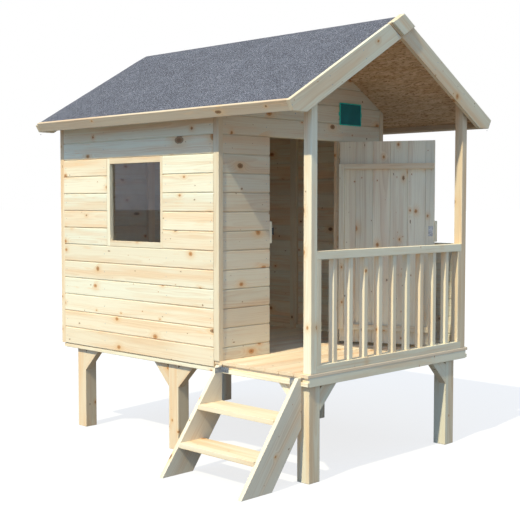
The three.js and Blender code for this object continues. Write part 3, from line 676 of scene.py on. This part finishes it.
# Braces with the grain along the sloping edge
BRACE_CUT = 0.018
RISING = ("brace_front_right", "side_brace_mid_forward", "side_brace_back")
braces = Timber("braces", 31)
for node in nodes_named("brace_", "side_brace"):
    lo, hi = (Vector(c) + shift(node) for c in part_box(node))
    thin, run = (Y, X) if node.startswith("brace") else (X, Y)
    toward, away = (hi[run], lo[run]) if node in RISING else (lo[run], hi[run])
    step = math.copysign(BRACE_CUT, away - toward)
    outline = [(toward + step, hi[Z]), (away, hi[Z]), (toward, lo[Z]), (toward, hi[Z] - BRACE_CUT)]
    slope = Vector((0, 0, 0))
    slope[run], slope[Z] = away - toward, hi[Z] - lo[Z]
    braces.add(outline, thin, lo[thin], hi[thin], ease=0.0018, along=slope, tone=FIXED_TONES.get(node))
braces.done("house", FRAMING, "framing", *nodes_named("brace_", "side_brace"))


# Walls
def wall_rows(group, axis, face, back, span, levels, hole, plain_above=OVER_ROOF):
    """Horizontal grooved boards over a wall, cut short beside an opening."""
    along, across = (hx, hy) if axis == X else (hy, hx)
    for i, (lo, hi) in enumerate(level_rows(*levels)):
        section = grooved(across(face), across(back), lo, hi, joints=(i > 0, True))
        runs = [span]
        if hole and lo >= hole[1][0] * MM - 1e-4 and hi <= hole[1][1] * MM + 1e-4:
            runs = [(span[0], hole[0][0]), (hole[0][1], span[1])]
        for a, b in runs:
            tone = (0.7, 0.35, i / 7) if lo > plain_above * MM else None
            group.add(section, axis, along(a) + END_GAP, along(b) - END_GAP, ROOF, ease=0.0, tone=tone)


def wall_battens(name, seed, uprights, bars):
    studs = Timber(f"{name}_wall_battens", seed)
    for x, y in uprights:
        upright(studs, x, y)
    for x, y, z in bars:
        bar(studs, x, y, z)
    studs.done("house", FRAMING, "framing")


SIDE_TOP, GABLE_TOP = 1716, 2060
BATTEN, WIDE = 20, 48
LOWEST = (DECK, DECK + BATTEN)
LAST = WALL_END - WIDE
beside = (WINDOW_Y[0], WINDOW_Y[1] + 18)
# Name, side, seed, warmth, opening, height of the plain rows and the battens' places
side_walls = (
    ("left", -1, 41, (0.0, 1.0), (WINDOW_Y, WINDOW_Z), 1430, (CORNER, LAST, beside[0] - WIDE, beside[1])),
    ("right", 1, 43, (0.05, 0.75), None, OVER_ROOF, (CORNER, (CORNER + LAST) / 2, LAST)),
)
for name, side, seed, warmth, hole, plain_above, places in side_walls:
    boards = Timber(f"{name}_wall_boards", seed, warmth)
    face, back = side * SIDE, side * (SIDE - SKIN)
    wall_rows(boards, Y, face, back, (CORNER, WALL_END), (FOOT, SIDE_TOP), hole, plain_above)
    boards.done("house", CLADDING, "cladding", f"{name}_wall")
    inside = (back, back - side * BATTEN)
    ends = sorted(places)
    bars = [(inside, (a + WIDE, b), LOWEST) for a, b in zip(ends, ends[1:])]
    if hole:
        bars.append((inside, beside, (WINDOW_Z[0] - WIDE, WINDOW_Z[0])))
        bars.append((inside, beside, (WINDOW_Z[1], WINDOW_Z[1] + WIDE)))
    wall_battens(name, seed + 1, [(inside, (y, y + WIDE)) for y in places], bars)

OUTER_HALF = 14.7
for name, seed, face, into, proud in (("front", 45, PORCH, 1, 4), ("back", 48, BACK, -1, 0)):
    front = name == "front"
    boards = Timber(f"{name}_wall_boards", seed, (0.05, 0.65))
    hole = (DOOR_X, (DECK, DOOR_TOP)) if front else None
    wall_rows(boards, X, face, face + into * SKIN, (-POST_IN, POST_IN), (DECK, GABLE_TOP), hole)
    # The front and back wall boards take the darker copy of the cladding, which is painted shade
    boards.done("house", CLADDING_PAINTED_SHADE, "cladding", f"{name}_wall")

    posts = Timber(f"{name}_corner_posts", seed + 1, (0.3, 0.9))
    y = (face - into * proud, face + into * POST_DEEP)
    for side in (-1, 1):
        if front:
            x = (side * SIDE, side * POST_IN)
            upright(posts, x, y, ease=0.0022, tone=(0.0, 0.65, 0.4))
            continue
        x = side * (SIDE - OUTER_HALF)
        upright(posts, (side * SIDE, x), y, FOOT, ease=0.0016)
        upright(posts, (x, side * POST_IN), y, ease=0.0005)
    posts.done("house", FRAMING, "framing")

    y = (face + into * SKIN, face + into * (SKIN + BATTEN))
    xs = [-SIDE + SKIN + BATTEN, SIDE - SKIN - BATTEN - WIDE]
    if front:
        xs += [DOOR_X[0] - WIDE, DOOR_X[1]]
        bars = [(DOOR_X, y, (DOOR_TOP, DOOR_TOP + WIDE))]
    else:
        bars = [((xs[0] + WIDE, -WIDE / 2), y, LOWEST), ((WIDE / 2, xs[1]), y, LOWEST)]
        xs.append(-WIDE / 2)
    wall_battens(name, seed + 2, [((x, x + WIDE), y) for x in xs], bars)


# Floors
def floor_section(lo, hi, joints=(True, True)):
    return swap(grooved(DECK * MM, (DECK - SKIN) * MM, lo, hi, 2.0 * MM, joints))


DECK_JOINT = 83
DECK_LEFT, DECK_FRONT_RIGHT = -603, 608.5
deck = Timber("porch_deck_boards", 51)
for i, (lo, hi) in enumerate(rows(hy(-1), hy(CORNER), hy(DECK_JOINT))):
    ends = (hx(DECK_LEFT), hx(FRAME_X if i else DECK_FRONT_RIGHT))
    deck.add(floor_section(lo, hi, (i > 0, True)), X, *ends, ease=0.0006)
deck.done("house", DECKING, "floor_boards", "porch_deck")
cabin = Timber("cabin_floor_boards", 52)
for lo, hi in rows(hy(CORNER), hy(FRAME_Y), hy(CORNER + COVER)):
    cabin.add(floor_section(lo, hi), X, hx(-FRAME_X), hx(FRAME_X), ease=0.0006)
cabin.done("house", DECKING, "floor_boards", "cabin_floor")

# Window frame
window = Timber("window_frame_sticks", 53)
wx = (-SIDE, -SIDE + 26)
(y0, y1), (z0, z1) = ((a + CLEAR, b - CLEAR) for a, b in (WINDOW_Y, WINDOW_Z))
FRONT_STICK, BACK_STICK, CROSS_STICK = 18, 25, 28
bar(window, wx, (y0, y0 + FRONT_STICK), (z0, z1))
bar(window, wx, (y1 - BACK_STICK, y1), (z0, z1))
for z in (z0, z1 - CROSS_STICK):
    bar(window, wx, (y0 + FRONT_STICK, y1 - BACK_STICK), (z, z + CROSS_STICK), axis=Y)
window.done("house", FRAMING, "framing", "window_frame")

# Porch posts, railing and side panel
HALF_SPAN, STILE = 546, 28
POST_X, POST_Y = 38, 45
posts = Timber("porch_posts", 54)
for x, tone in ((-HALF_SPAN - POST_X, (0.9, 0.1, 0.6)), (HALF_SPAN, (0.1, 1.0, 0.3))):
    upright(posts, (x, x + POST_X), (0, POST_Y), ease=0.0025, tone=tone)
posts.done("house", FRAMING, "framing", "porch_post_left", "porch_post_right")

BAR_TOP, RAIL_UNDER = 512, 967
BALUSTERS, BALUSTER, ASIDE = 9, 25, 7
rail = Timber("railing", 55, (0.30, 0.95))
bar(rail, (-HALF_SPAN, HALF_SPAN), (0, 40), (DECK, BAR_TOP), ease=0.002)
for x in (-HALF_SPAN, HALF_SPAN - STILE):
    bar(rail, (x, x + STILE), (0, 40), (BAR_TOP, RAIL_UNDER), ease=0.002)
between = 2 * (HALF_SPAN - STILE)
gap = (between - BALUSTERS * BALUSTER) / (BALUSTERS + 1)
for i in range(BALUSTERS):
    x = -between / 2 + gap + i * (gap + BALUSTER) + ASIDE
    bar(rail, (x, x + BALUSTER), (6, 36), (BAR_TOP, RAIL_UNDER), ease=0.002)
rail.done("house", FRAMING, "framing", "front_balusters")

# The panel's boards keep to cool tones: painted cool shade, together with the paler pine
panel = Timber("side_panel_boards", 56, (0.0, 0.2))
levels = level_rows(FOOT, RAIL_UNDER)
for i, (lo, hi) in enumerate(levels):
    section = grooved(hx(SIDE), hx(FRAME_X), lo, hi, joints=(i > 0, i < len(levels) - 1))
    panel.add(section, Y, hy(POST_Y), hy(PORCH - 4), ease=0.0)
panel.done("house", SIDE_PANEL_PAINTED_SHADE_TINT, "cladding", "side_panel")
studs = Timber("side_panel_battens", 58)
stud_x = (FRAME_X - 18, FRAME_X)
stud_ys = [(y, y + 32) for y in (POST_Y, 296.5, 516)]
# The battens take the brightest, coolest tone: painted cool shade, as on the boards
for y in stud_ys:
    bar(studs, stud_x, y, (DECK, RAIL_UNDER), axis=Z, tone=(1.0, 0.0, 0.4))
for before, after in zip(stud_ys, stud_ys[1:]):
    bar(studs, stud_x, (before[1], after[0]), (DECK, DECK + 18), axis=Y, tone=(1.0, 0.0, 0.6))
studs.done("house", SIDE_PANEL_PAINTED_SHADE_TINT, "framing")


# Roof timbers
def slope_point(side, down, depth):
    """X and Z of a point down a slope from the ridge and some depth under the roof's top."""
    x = down * COS - depth * SIN
    z = RIDGE - down * SIN - depth * COS
    return hx(side * x), z * MM


def slope_axis(side):
    return Vector((side * COS, 0, -SIN))


SLOPE = 756 / COS
EAVE, THICK = 50, 18
SLOPE_END = SLOPE - THICK
GABLE = hy(-12)
eaves = Timber("eave_boards", 61)
for side in (-1, 1):
    top = SLOPE_END + CLEAR
    section = [slope_point(side, d, e) for d, e in ((top, 0), (SLOPE, 0), (SLOPE, EAVE), (top, EAVE))]
    eaves.add(section, Y, GABLE, hy(BACK), ease=0.002)
eaves.done("house", EAVES, "framing", "eave_board_left", "eave_board_right")

BARGE, BARGE_THICK = 92, 20
BARGE_FRONT = -32


def crossing(side, near, far, nudge=0.0):
    """Where a depth under one slope's top line meets a depth under the other's."""
    x = (near - far) / COS / TAN / 2
    return hx(-side * (x + nudge)), (RIDGE + x * TAN - near / COS) * MM


def barge(side, y, low, high, nudge=0.0, top=0.0):
    """A barge board whose head is cut between two crossings of depths."""
    square = slope_point(side, SLOPE, EAVE)
    level = (RIDGE - BARGE / COS - square[1] / MM) / TAN
    head_low, head_high = (crossing(side, *depths, nudge) for depths in (low, high))
    outline = [head_high, slope_point(side, SLOPE, top), square, (hx(side * level), square[1]), head_low]
    # The barge boards take the darkest tone: painted shade on their shaded faces
    tone = (0.0, 0.1, 0.4) if side < 0 else (0.0, 0.5, 0.8)
    barges.add(outline, Y, hy(y), hy(y + BARGE_THICK), ease=0.002, along=slope_axis(side), tone=tone)


# At the front the left board stops under the right one, and at the back the felt laps over both
STOP = BARGE + 5
LAP = 9.3
barges = Timber("barge_boards", 66)
barge(-1, BARGE_FRONT, (BARGE, STOP), (0, STOP))
barge(1, BARGE_FRONT, (BARGE, 0), (0, 0))
for side in (-1, 1):
    barge(side, BACK, (BARGE, BARGE), (LAP, LAP), -CLEAR, LAP)
barges.done("house", FRAMING, "framing", *nodes_named("barge_"))
cover = Timber("ridge_cover_block", 63)
block = [crossing(-1, *depths) for depths in ((0, 0), (0, 84), (84, 84), (84, 0))]
cover_y = (hy(BARGE_FRONT - 12), hy(BARGE_FRONT))
# The block takes a dark, cool tone: painted shade on its shaded face
cover.add(block, Y, *cover_y, ease=0.002, along=slope_axis(1), tone=(0.1, 0.15, 0.5))
cover.done("house", FRAMING, "framing", "ridge_cover")

# Stair sides
STRINGER = 145
RUN, RISE = 343, 462
FOOT_X = -956
back_foot = FOOT_X + STRINGER * math.hypot(1, RUN / RISE)
under = (-FRAME_X - back_foot) * RISE / RUN
profile = [(FOOT_X, 0), (back_foot, 0), (-FRAME_X, under), (-FRAME_X, RISE), (FOOT_X + RUN, RISE)]
profile = [(hx(x) - SILL, z * MM) for x, z in profile]
stair = Timber("stair_sides", 64)
for y, tone in ((38, (0.7, 0.15, 0.5)), (534, (1.0, 0.40, 0.9))):
    stair.add(profile, Y, hy(y), hy(y + 22), ease=0.002, along=Vector((RUN, 0, RISE)), tone=tone)
stair.done("house", STAIRS, "framing", "stringer_left", "stringer_right")

# Door, built shut and swung open about its pin
PIN_X, PIN_Y = 247, 546
PIN = at(PIN_X, PIN_Y, 0)
OPEN = math.radians(114)
SWING = Matrix.Translation(PIN) @ Matrix.Rotation(OPEN, 4, "Z") @ Matrix.Translation(-PIN)
LEAF_X, LEAF_Z = (-248, 242), (494, 1521)
leaf = Timber("door_leaf_boards", 71, (0.20, 0.55))
door_rows = rows(hx(LEAF_X[0]), hx(LEAF_X[1]), hx(LEAF_X[0] + 45))
for i, (lo, hi) in enumerate(door_rows):
    joints = (i > 0, i < len(door_rows) - 1)
    section = grooved(hy(PORCH), hy(PORCH + SKIN), lo, hi, 2.2 * MM, joints, 0.4 * MM)
    leaf.add(swap(section), Z, LEAF_Z[0] * MM, LEAF_Z[1] * MM, ease=0.0)
leaf.move(SWING).done("door", DOOR, "cladding", "door_boards")

LEDGE, LEDGE_THICK = 28, 18
LEDGE_Z = (558, 1380)
battens = Timber("door_battens", 72, (0.0, 0.5))
deep = (PORCH + SKIN + CLEAR, PORCH + SKIN + CLEAR + LEDGE_THICK)
stile = LEAF_X[1] - LEDGE
bar(battens, (stile, LEAF_X[1]), deep, (LEDGE_Z[0], LEDGE_Z[1] + LEDGE), ease=0.002)
for z in LEDGE_Z:
    bar(battens, (LEAF_X[0], stile - CLEAR), deep, (z, z + LEDGE), ease=0.002)
bar(battens, (-258, -200), (PORCH - CLEAR - LEDGE_THICK, PORCH - CLEAR), (1015, 1120), ease=0.002)
battens.move(SWING).done("door", FRAMING, "framing", *nodes_named("door_stile", "door_ledge", "door_closing"))


# Roof sheets
def layer(side, start, end, top, bottom):
    """Section of a roof layer between two depths under the top line of a slope."""
    head = [slope_point(side, start + d * TAN, d) for d in (top, bottom)]
    tail = [slope_point(side, end, d) for d in (bottom, top)]
    return head + tail


sheets = Timber("roof_sheets", 81)
for side in (-1, 1):
    sheets.add(layer(side, CLEAR, SLOPE_END, 9.3, 21.3), Y, GABLE, hy(BACK), ease=0.0006)
sheets.done("house", SHEET, "roof_sheet", "roof_sheet_left", "roof_sheet_right")


# Felt, metal, plastic
KNUCKLE = 5.5
TO_LEFT, TO_RIGHT = Vector((-1, 0, 0)), Vector((1, 0, 0))
TO_PORCH, TO_BACK = Vector((0, -1, 0)), Vector((0, 1, 0))
UP = Vector((0, 0, 1))


class Shape:
    """Collects parts that aren't sawn timber into one mesh."""

    def __init__(self, name):
        self.name = name
        self.bm = bmesh.new()

    def prism(self, outline, axis, a, b, ease=0.0, segments=2):
        before = set(self.bm.edges)
        prism(self.bm, outline, axis, a, b)
        if ease:
            fresh = [e for e in self.bm.edges if e not in before and e.calc_face_angle(0) > 0.5]
            bevel(self.bm, fresh, ease, segments)

    def box(self, x, y, z, ease, segments=2):
        """A block between house measures in millimetres."""
        lo, hi = corners(x, y, z)
        self.prism(rectangle(lo, hi, Z), Z, lo.z, hi.z, ease, segments)

    def lathe(self, centre, normal, rings, steps=16, spin=0.0, looped=False):
        """Rings of (radius, height) in millimetres about a normal; a list of radii repeats round its ring."""
        up = normal.normalized()
        u = up.orthogonal().normalized()
        v = up.cross(u)
        turns = [2 * math.pi * i / steps + spin for i in range(steps)]
        lines = []
        for radius, height in rings:
            radii = radius if isinstance(radius, list) else [radius]
            out = [(u * math.cos(t) + v * math.sin(t)) * radii[i % len(radii)] for i, t in enumerate(turns)]
            lines.append([centre + (up * height + o) * MM for o in out])
        made = grid(self.bm, lines, closed=True, looped=looped)
        if not looped:
            self.bm.faces.new(made[0][::-1])
            self.bm.faces.new(made[-1])

    def nail(self, centre, normal, radius=2.1):
        self.lathe(centre, normal, [(radius, -1.0), (radius, 0.15), (radius * 0.72, 0.42)], steps=12)

    def screw(self, centre, normal, spin=0.0):
        """Pan head with a cross recess."""
        r = 3.4
        cross = [0.52 * r, 0.30 * r, 0.14 * r, 0.30 * r]
        sunk = [0.8 * c for c in cross]
        rings = [(r, -1.0), (r, 0.5), (0.88 * r, 1.15), (0.62 * r, 1.5), (cross, 1.6), (sunk, 0.7)]
        self.lathe(centre, normal, rings, spin=spin)

    def eye(self, low, high, inner, ease=0.5):
        """Upright tube of a hinge round the pin."""
        half = [(inner, low), (KNUCKLE - ease, low), (KNUCKLE, low + ease)]
        profile = half + [(KNUCKLE, high - ease), (KNUCKLE - ease, high), (inner, high)]
        self.lathe(PIN, UP, profile, steps=28, looped=True)

    def move(self, matrix):
        bmesh.ops.transform(self.bm, matrix=matrix, verts=self.bm.verts[:])
        return self

    def done(self, body, mat, slot, *nodes):
        bmesh.ops.recalc_face_normals(self.bm, faces=self.bm.faces[:])
        mesh = bpy.data.meshes.new(self.name)
        self.bm.to_mesh(mesh)
        self.bm.free()
        hand_over(self.name, mesh, mat, body, nodes)


# One felt skin over both slopes, lying in slow waves and eased over the ridge
FELT_TOP, FELT_UNDER = 6.0, 9.0
FELT_STEPS, FELT_BAYS = 34, 72
FELT_Y = (hy(-11.4), hy(BACK + 9))
felt = Shape("roof_felt_skin")
dice = random.Random(91)
waves = []
for _ in range(14):
    waves.append((dice.uniform(2, 11), dice.uniform(2, 9), dice.uniform(0, 6.3), dice.uniform(0.05, 0.16)))


def ripple(down, y):
    return sum(size * math.sin(a * down * MM + b * y + c) for a, b, c, size in waves)


def felt_row(y, depth, moved):
    """Points across the roof from eave to eave."""
    row = []
    for i in range(-FELT_STEPS, FELT_STEPS + 1):
        side = -1 if i < 0 else 1
        share = abs(i) / FELT_STEPS
        down = CLEAR + share * (SLOPE_END - 3 * CLEAR) + depth * TAN
        rise = ripple(side * down, y) * min(1.0, share * 6) * min(1.0, (1 - share) * 8) if moved else 0.0
        round_off = 2.4 * math.exp(-((share * 24) ** 2))
        x, z = slope_point(side, down if i else depth * TAN, depth - rise)
        row.append((x, y, z - round_off * MM))
    return row


ys = [FELT_Y[0] + (FELT_Y[1] - FELT_Y[0]) * i / FELT_BAYS for i in range(FELT_BAYS + 1)]
tops = grid(felt.bm, [felt_row(y, FELT_TOP, True) for y in ys])
unders = grid(felt.bm, [felt_row(y, FELT_UNDER, False) for y in ys])


def border(net):
    return [[row[0] for row in net], [row[-1] for row in net], net[0], net[-1]]


for line, below in zip(border(tops), border(unders)):
    for i in range(len(line) - 1):
        felt.bm.faces.new((line[i], line[i + 1], below[i + 1], below[i]))
felt.done("house", FELT, "roof_felt", "roof_felt_left", "roof_felt_right")

# Window sheet, held in a groove of the frame
pane = Shape("window_sheet")
pane.box((-592, -589), (962.3, 1371.7), (1012.3, 1411.7), 0.0004, segments=1)
pane.done("house", PANE, "window_pane", "window_pane")

# Sign: a field sunk inside a raised rim, with a lug at each side
SIGN_X, SIGN_Z = (247, 419), (1610.8, 1725.8)


def dish(shape, x, z, levels, looped=False, steps=5):
    """Rounded rectangles joined in a row: each level is an inset, a place in Y and a corner radius."""
    outlines = []
    for inset, y, radius in levels:
        (x0, x1), (z0, z1) = ((a + inset + radius, b - inset - radius) for a, b in (x, z))
        outline = []
        for cx, cz, start in ((x1, z1, 0), (x0, z1, 90), (x0, z0, 180), (x1, z0, 270)):
            for i in range(steps + 1):
                turn = math.radians(start + 90 * i / steps)
                outline.append(at(cx + radius * math.cos(turn), y, cz + radius * math.sin(turn)))
        outlines.append(outline)
    return grid(shape.bm, outlines, closed=True, looped=looped)


rim = Shape("sign_rim")
rim_levels = [(0, 552, 7), (0, 547, 7), (1.2, 546, 6), (4, 546, 4), (5.2, 547.4, 3), (5.2, 551.8, 3)]
dish(rim, SIGN_X, SIGN_Z, rim_levels, looped=True)
middle_z = sum(SIGN_Z) / 2
for x in ((SIGN_X[0] - 5, SIGN_X[0] - 0.05), (SIGN_X[1] + 0.05, SIGN_X[1] + 5)):
    rim.box(x, (548, 552), (middle_z - 10, middle_z + 10), 0.0012)
rim.done("house", RIM, "sign_plate", "sign_plate")
field = Shape("sign_field")
field_x, field_z = ((a + 5.3, b - 5.3) for a, b in (SIGN_X, SIGN_Z))
field_levels = [(0, 551.7, 3), (0, 548.6, 3), (0.8, 548, 2.6), (9, 548, 6), (10.5, 548.4, 5), (12, 548.4, 4)]
made = dish(field, field_x, field_z, field_levels)
field.bm.faces.new(made[0])
field.bm.faces.new(made[-1])
field.done("house", SIGN, "sign_plate")

# Hinges: straps with the door, leaves and pins with the house
EYE, PIN_R = 15, 2.8
PIN_RINGS = ((PIN_R, 0), (PIN_R, 66.2), (2.3, 66.9), (1.2, 67.2))
HINGE_Z = (572, 1394)
leaf_x = PIN_X + KNUCKLE + 2
tip = [(44, 7), (39, 4), (37, 0), (39, -4), (44, -7)]
straps = Shape("hinge_straps")
leaves = Shape("hinge_leaves")
for middle in HINGE_Z:
    outline = [(PIN_X - 1, -EYE), (PIN_X - 1, EYE), *tip]
    outline = [(hx(x), (middle + z) * MM) for x, z in outline]
    straps.prism(outline, Y, hy(549.2), hy(551.7), ease=0.0007)
    straps.eye(middle - EYE, middle + EYE, PIN_R + 0.3)
    for i, x in enumerate((222, 170, 110, 52)):
        straps.screw(at(x, 549.2, middle), TO_PORCH, spin=i * 0.7)
    seat = middle - EYE - 0.5
    leaves.box((leaf_x, leaf_x + 40), (549.5, 552), (seat - 30, middle + EYE), 0.0007)
    leaves.box((PIN_X + 0.5, leaf_x + 2), (549.6, 551.9), (seat - 29.5, seat - 0.5), 0.0004)
    leaves.eye(seat - 30, seat, PIN_R - 0.02)
    leaves.lathe(at(PIN_X, PIN_Y, seat - 30.2), UP, PIN_RINGS, steps=24)
    for i, (x, z) in enumerate(((12, -30), (30, -12), (12, 0), (30, 8))):
        leaves.screw(at(leaf_x + x, 549.5, middle + z - 5), TO_PORCH, spin=i * 0.5)
straps.move(SWING).done("door", ZINC, "zinc_steel", "hinge_strap_lower", "hinge_strap_upper")
leaves.done("house", ZINC, "zinc_steel", "hinge_leaf_lower", "hinge_leaf_upper")

# Angle plates between the stair sides and the bearer
FACE, LEG, PLATE, FILLET = -602, 45, 2.5, 1.5
PLATE_Z, SCREW_Z = (0.429, 0.454), 441.5
plates = Shape("stair_angle_plates")
for corner, into in ((534, -1), (60, 1)):
    outline = [
        (FACE, 0), (FACE, LEG), (FACE - PLATE, LEG), (FACE - PLATE, PLATE + FILLET),
        (FACE - PLATE - FILLET, PLATE), (FACE - LEG, PLATE), (FACE - LEG, 0),
    ]
    plates.prism([(hx(x), hy(corner + into * y)) for x, y in outline], Z, *PLATE_Z, ease=0.0006)
    for i, d in enumerate((16, 35)):
        plates.screw(at(FACE - PLATE, corner + into * d, SCREW_Z), TO_LEFT, spin=i)
        plates.screw(at(FACE - d, corner + into * PLATE, SCREW_Z), TO_BACK * into, spin=i)
plates.done("house", ZINC, "zinc_steel", "stair_bracket_left", "stair_bracket_right")

# Magnet catch on the jamb block and its strike on the door
magnet = Shape("catch_magnet")
magnet.box((-252.9, -221), (569.6, 583), (1055, 1090), 0.0012)
magnet.done("house", MAGNET, "framing")
strike = Shape("catch_strike")
strike.box((-242, -220), (567.1, 568.5), (1043, 1093), 0.0005)
for z in (1051, 1085):
    strike.nail(at(-231, 568.5, z), TO_BACK, 2.6)
strike.move(SWING).done("door", ZINC, "zinc_steel")

# Nails through the boards into what lies behind them
nails = Shape("cladding_nails")
dice = random.Random(97)


def slip():
    return dice.uniform(-2.5, 2.5)


def board_middles(lo, hi):
    return [(a + b) / 2 / MM for a, b in level_rows(lo, hi)]


NAILED_TO = 1640
for z in board_middles(FOOT, NAILED_TO):
    for y in (CORNER + 20, WINDOW_Y[0] - 24, WINDOW_Y[1] + 24, WALL_END - 20):
        nails.nail(at(-SIDE, y + slip(), z + slip()), TO_LEFT)
    for y in (CORNER + 20, (CORNER + WALL_END) / 2, WALL_END - 20):
        nails.nail(at(SIDE, y + slip(), z + slip()), TO_RIGHT)
for z in board_middles(DECK, NAILED_TO):
    for x in (-POST_IN + 20, DOOR_X[0] - 24, DOOR_X[1] + 24, POST_IN - 20):
        nails.nail(at(x + slip(), PORCH, z + slip()), TO_PORCH)
    for x in (-POST_IN + 20, 0, POST_IN - 20):
        nails.nail(at(x + slip(), BACK, z + slip()), TO_BACK)
for lo, hi in rows(hy(-7), hy(CORNER - 30), hy(DECK_JOINT)):
    for x in (-570, 570):
        nails.nail(Vector((hx(x + slip()), (lo + hi) / 2, DECK * MM)), UP, 2.4)
for side in (-1, 1):
    for down in (80, 340, 600, 870):
        for depth in (26, 66):
            x, z = slope_point(side, down + slip(), depth)
            nails.nail(Vector((x, hy(BARGE_FRONT), z)), TO_PORCH, 2.3)
            nails.nail(Vector((x, hy(BACK + BARGE_THICK), z)), TO_BACK, 2.3)
nails.done("house", ZINC, "cladding")

# Camera
scene = bpy.context.scene
scene.view_settings.view_transform = "Standard"
FOCAL_PX, PHOTO_PX = 1022.56, 520
CAMERA_AT = Vector((-3.7143, -3.7801, 1.2134))
YAW, DOWN = 44.68, 3.24
cam = linked("camera", bpy.data.cameras.new("camera"))
scene.camera = cam
cam.data.sensor_width = 36.0
cam.data.lens = 36.0 * FOCAL_PX / PHOTO_PX
cam.data.clip_end = 1000
turned = Euler((math.radians(90 - DOWN), 0, math.radians(YAW - 90)))
cam.matrix_world = Matrix.LocRotScale(CAMERA_AT, turned, None)

# Sun
sun = linked("sun", bpy.data.lights.new("sun", "SUN"))
sun.data.energy = 3.86
sun.data.color = (1.0, 0.935, 0.676)
sun.data.angle = math.radians(1.2)
sun.rotation_euler = Vector((1.0, 0.148, -1.19)).to_track_quat("-Z", "Y").to_euler()

# Sky: white where it is seen, and as light blue from the left and greyer from the right
SKY_STRENGTH = 0.86
WHITE = (1, 1, 1, 1)
SKY_LEFT, SKY_RIGHT = (0.54, 0.87, 1.36, 1), (0.47, 0.585, 0.72, 1)
SKY_MIRRORED = (0.86, 0.95, 1.10, 1)
world = bpy.data.worlds.new("studio")
scene.world = world
world.use_nodes = True
w = Tree(world.node_tree)
inputs = world.node_tree.nodes["Background"].inputs
path, seen = w.seen()
ray = w.split(w.node("ShaderNodeTexCoord").outputs["Generated"])
sky = w.lay(SKY_LEFT, SKY_RIGHT, ray[0], -0.95, 0.35)
sky = w.shaded(sky, w.smooth(ray[2], 0.0, 0.85, 0.84, 1.16))
sky = w.mix(path["Is Glossy Ray"], w.mix(seen, sky, WHITE), SKY_MIRRORED)
w.put(inputs["Color"], sky)
w.put(inputs["Strength"], w.mixf(seen, SKY_STRENGTH, 1.0))

# Floor, which shows white and keeps the shadow
REACH = 120
quad = [(-REACH, -REACH, 0), (REACH, -REACH, 0), (REACH, REACH, 0), (-REACH, REACH, 0)]
floor_mesh = bpy.data.meshes.new("floor")
floor_mesh.from_pydata(quad, [], [(0, 1, 2, 3)])
floor = linked("floor", floor_mesh)
floor.location.z = -0.0005
f = Skin("floor")
path, seen = f.seen()
floor_mesh.materials.append(f.surface({
    "Base Color": (0.20, 0.20, 0.205, 1),
    "Roughness": 0.9,
    "Specular IOR Level": 0.0,
    "Emission Color": WHITE,
    "Emission Strength": f.times(seen, f.mixf(path["Is Glossy Ray"], 0.79, 0.06)),
}))
